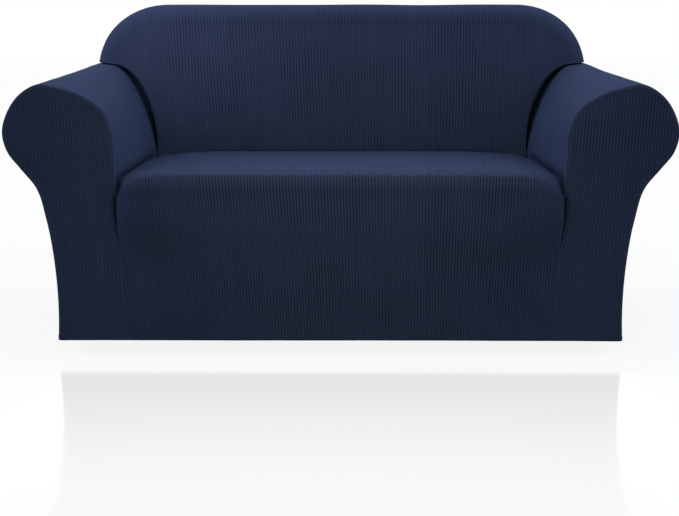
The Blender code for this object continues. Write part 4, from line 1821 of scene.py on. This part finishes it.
@dataclass(frozen=True)
class SpotLamp:
    """A near lamp with a soft-edged cone."""

    name: str
    power: float
    cone: float
    size: float
    place: tuple[float, float, float]
    aim: tuple[float, float, float]
    tint: tuple[float, float, float]

    def set_up(self) -> None:
        """Add the lamp to the scene, pointed at its aim, both in floor coordinates."""
        data = bpy.data.lights.new(self.name, "SPOT")
        data.energy = self.power
        data.spot_size = math.radians(self.cone)
        data.spot_blend = 1.0
        data.shadow_soft_size = self.size
        data.color = self.tint
        lamp = placed(self.name, data)
        lamp.location = np.array(self.place) - HELD_AT
        way = Vector(np.array(self.aim) - np.array(self.place))
        lamp.rotation_euler = way.to_track_quat("-Z", "Y").to_euler()


@dataclass(frozen=True)
class StudioFloor:
    """Wide white floor with a faint mirror gloss that fades towards the camera."""

    z: float = -float(HELD_AT[2])
    half: float = 30.0
    shade: Colour = (0.10, 0.10, 0.10, 1.0)
    roughness: float = 0.7
    glow: float = 0.88
    glow_tint: Colour = (1.0, 1.0, 1.01, 1.0)
    gloss: float = 0.90
    far_gloss: float = 0.25
    gloss_starts: tuple[float, float] = (-0.90, -0.97)
    gloss_ends: tuple[float, float] = (-1.00, -1.75)
    gloss_roughness: float = 0.10

    def make(self) -> bpy.types.Object:
        """Build the floor and its finish, which shows white and gives back little light.

        Returns:
            The floor.
        """
        half, z = self.half, self.z
        mesh = bpy.data.meshes.new("floor")
        corners = [(-half, -half, z), (half, -half, z), (half, half, z), (-half, half, z)]
        mesh.from_pydata(corners, [], [(0, 1, 2, 3)])
        material, nodes, shader = new_finish("white_floor")
        shader.inputs["Base Color"].default_value = self.shade
        shader.inputs["Roughness"].default_value = self.roughness
        shader.inputs["Specular IOR Level"].default_value = 0.0
        shader.inputs["Coat Roughness"].default_value = self.gloss_roughness
        shader.inputs["Emission Color"].default_value = self.glow_tint
        ray = nodes.add("ShaderNodeLightPath").outputs["Is Camera Ray"]
        nodes.feed(shader.inputs["Emission Strength"], nodes.times(ray, self.glow))
        depth = nodes.part(nodes.add("ShaderNodeTexCoord").outputs["Object"], "Y")
        near, far = self.gloss_ends
        fade = nodes.ramp(depth, far, near, self.far_gloss, self.gloss)
        first, full = self.gloss_starts
        fade = nodes.times(fade, nodes.ramp(depth, full, first, 1.0, 0.0))
        nodes.feed(shader.inputs["Coat Weight"], fade)
        mesh.materials.append(material)
        floor = placed("floor", mesh)
        return floor


@dataclass(frozen=True)
class Studio:
    """White room, soft lamps above and at both sides, and a camera before the cover."""

    focal_pixels: float = 1125.0
    sensor_width: float = 36.0
    pitch_down: float = 11.2
    camera_height: float = 0.808
    camera_ahead: float = 2.8
    floor: StudioFloor = StudioFloor()
    camera_aside: float = 0.019
    camera_heading: float = 0.41
    lamps: tuple[Lamp | SpotLamp, ...] = (
        Lamp("from_left", 2.03, 60.0, 33.0, -95.0, (0.94, 1.0, 0.97)),
        Lamp("from_right", 1.97, 60.0, 33.0, 95.0, (0.94, 1.0, 0.97)),
        Lamp("from_rear", 0.40, 60.0, 45.0, 180.0, (1.0, 1.0, 1.0)),
        SpotLamp("on_back", 123.0, 16.0, 0.25, (-1.1, -1.5, 1.8), (-0.54, 0.70, 0.83),
                 (1.0, 0.81, 0.80)),
        SpotLamp("on_apron", 33.0, 62.0, 0.50, (0.0, -1.8, 0.9), (0.0, 0.0, 0.3),
                 (1.0, 0.66, 0.30)),
        SpotLamp("on_seat", 35.0, 80.0, 0.50, (0.0, -1.2, 1.6), (0.0, 0.4, 0.6),
                 (0.92, 1.0, 0.72)),
    )
    room_shade: Colour = (0.20, 0.20, 0.20, 1.0)
    white: Colour = (1.0, 1.0, 1.0, 1.0)

    def camera(self) -> bpy.types.Object:
        """The camera: nearly straight on, looking a little down.

        Returns:
            The camera, set as the scene's.
        """
        data = bpy.data.cameras.new("camera")
        data.sensor_width = self.sensor_width
        data.sensor_fit = "HORIZONTAL"
        data.lens = self.focal_pixels / PICTURE_WIDTH * self.sensor_width
        camera = placed("camera", data)
        place = (self.camera_aside, -self.camera_ahead, self.camera_height)
        camera.location = np.array(place) - HELD_AT
        camera.rotation_euler = (math.radians(90 - self.pitch_down), 0.0,
                                 math.radians(self.camera_heading))
        bpy.context.scene.camera = camera
        return camera

    def light(self) -> None:
        """Place the lamps, and a room that is dim on the cloth and white to the camera."""
        for lamp in self.lamps:
            lamp.set_up()
        world = bpy.data.worlds.new("room")
        bpy.context.scene.world = world
        world.use_nodes = True
        world.node_tree.nodes.clear()
        nodes = Nodes(world.node_tree)
        seen = nodes.add("ShaderNodeBackground", in_Color=self.white, in_Strength=1.0)
        lit = nodes.add("ShaderNodeBackground", in_Color=self.room_shade, in_Strength=1.0)
        path = nodes.add("ShaderNodeLightPath")
        direct = nodes.calc("MAXIMUM", path.outputs["Is Camera Ray"], path.outputs["Is Glossy Ray"])
        mix = nodes.add("ShaderNodeMixShader", in_0=direct, in_1=lit.outputs[0],
                        in_2=seen.outputs[0])
        nodes.add("ShaderNodeOutputWorld", in_Surface=mix.outputs[0])
        view = bpy.context.scene.view_settings
        view.view_transform = "Standard"
        view.look = "None"


# ------------------------------------------------------------------ the whole cover


def panels(sizes: CoverSizes) -> list[Panel]:
    """All seven panels, with their cut sizes, rib flow and swells.

    Args:
        sizes: Sizes that they share.

    Returns:
        The panels in the order in which they are built.
    """
    back = BackForm(sizes)
    arm = ArmForm(sizes, back)
    seat = SeatForm(sizes, arm)
    found: list[Panel] = [
        InsideBack(sizes, "inside_back_cloth", "inside_back", (1.55, 0.66), 0.78, form=back,
                   ribs=RibFlow(1.20, -0.026, 0.13), turn=0.4),
        OutsideBack(sizes, "outside_back_cloth", "outside_back", (1.48, 0.78), 1.03, form=back,
                    arm=arm, turn=1.1),
        SeatApron(sizes, "seat_apron_cloth", "seat_apron", (1.11, 0.98), 1.03, form=seat,
                  ribs=RibFlow(1.0, -0.035, 0.17), turn=2.0),
    ]
    for side in (Side.RIGHT, Side.LEFT):
        turn = 2.9 + side.value
        found.append(ArmCover(sizes, f"arm_cover_cloth_{side.word}", f"arm_cover_{side.word}",
                              (0.80, 1.22), 0.77, side=side, arm=arm, seat=seat, turn=turn))
        found.append(ArmFront(sizes, f"arm_front_cloth_{side.word}", f"arm_front_{side.word}",
                              (0.26, 0.59), 0.10, side=side, arm=arm, seat=seat, turn=turn + 0.7))
    return found


def main() -> None:
    """Build the studio and all panels."""
    logging.basicConfig(level=logging.INFO, format="%(name)s: %(message)s")
    sizes = CoverSizes()
    studio = Studio()
    studio.camera()
    studio.floor.make()
    studio.light()
    maker = SheetMaker(sizes)
    knit = RibbedKnit()
    groups = knit.groups()
    for panel in panels(sizes):
        panel.make(maker, knit.material(f"{panel.name}_knit", groups))


if __name__ == "__main__":
    main()
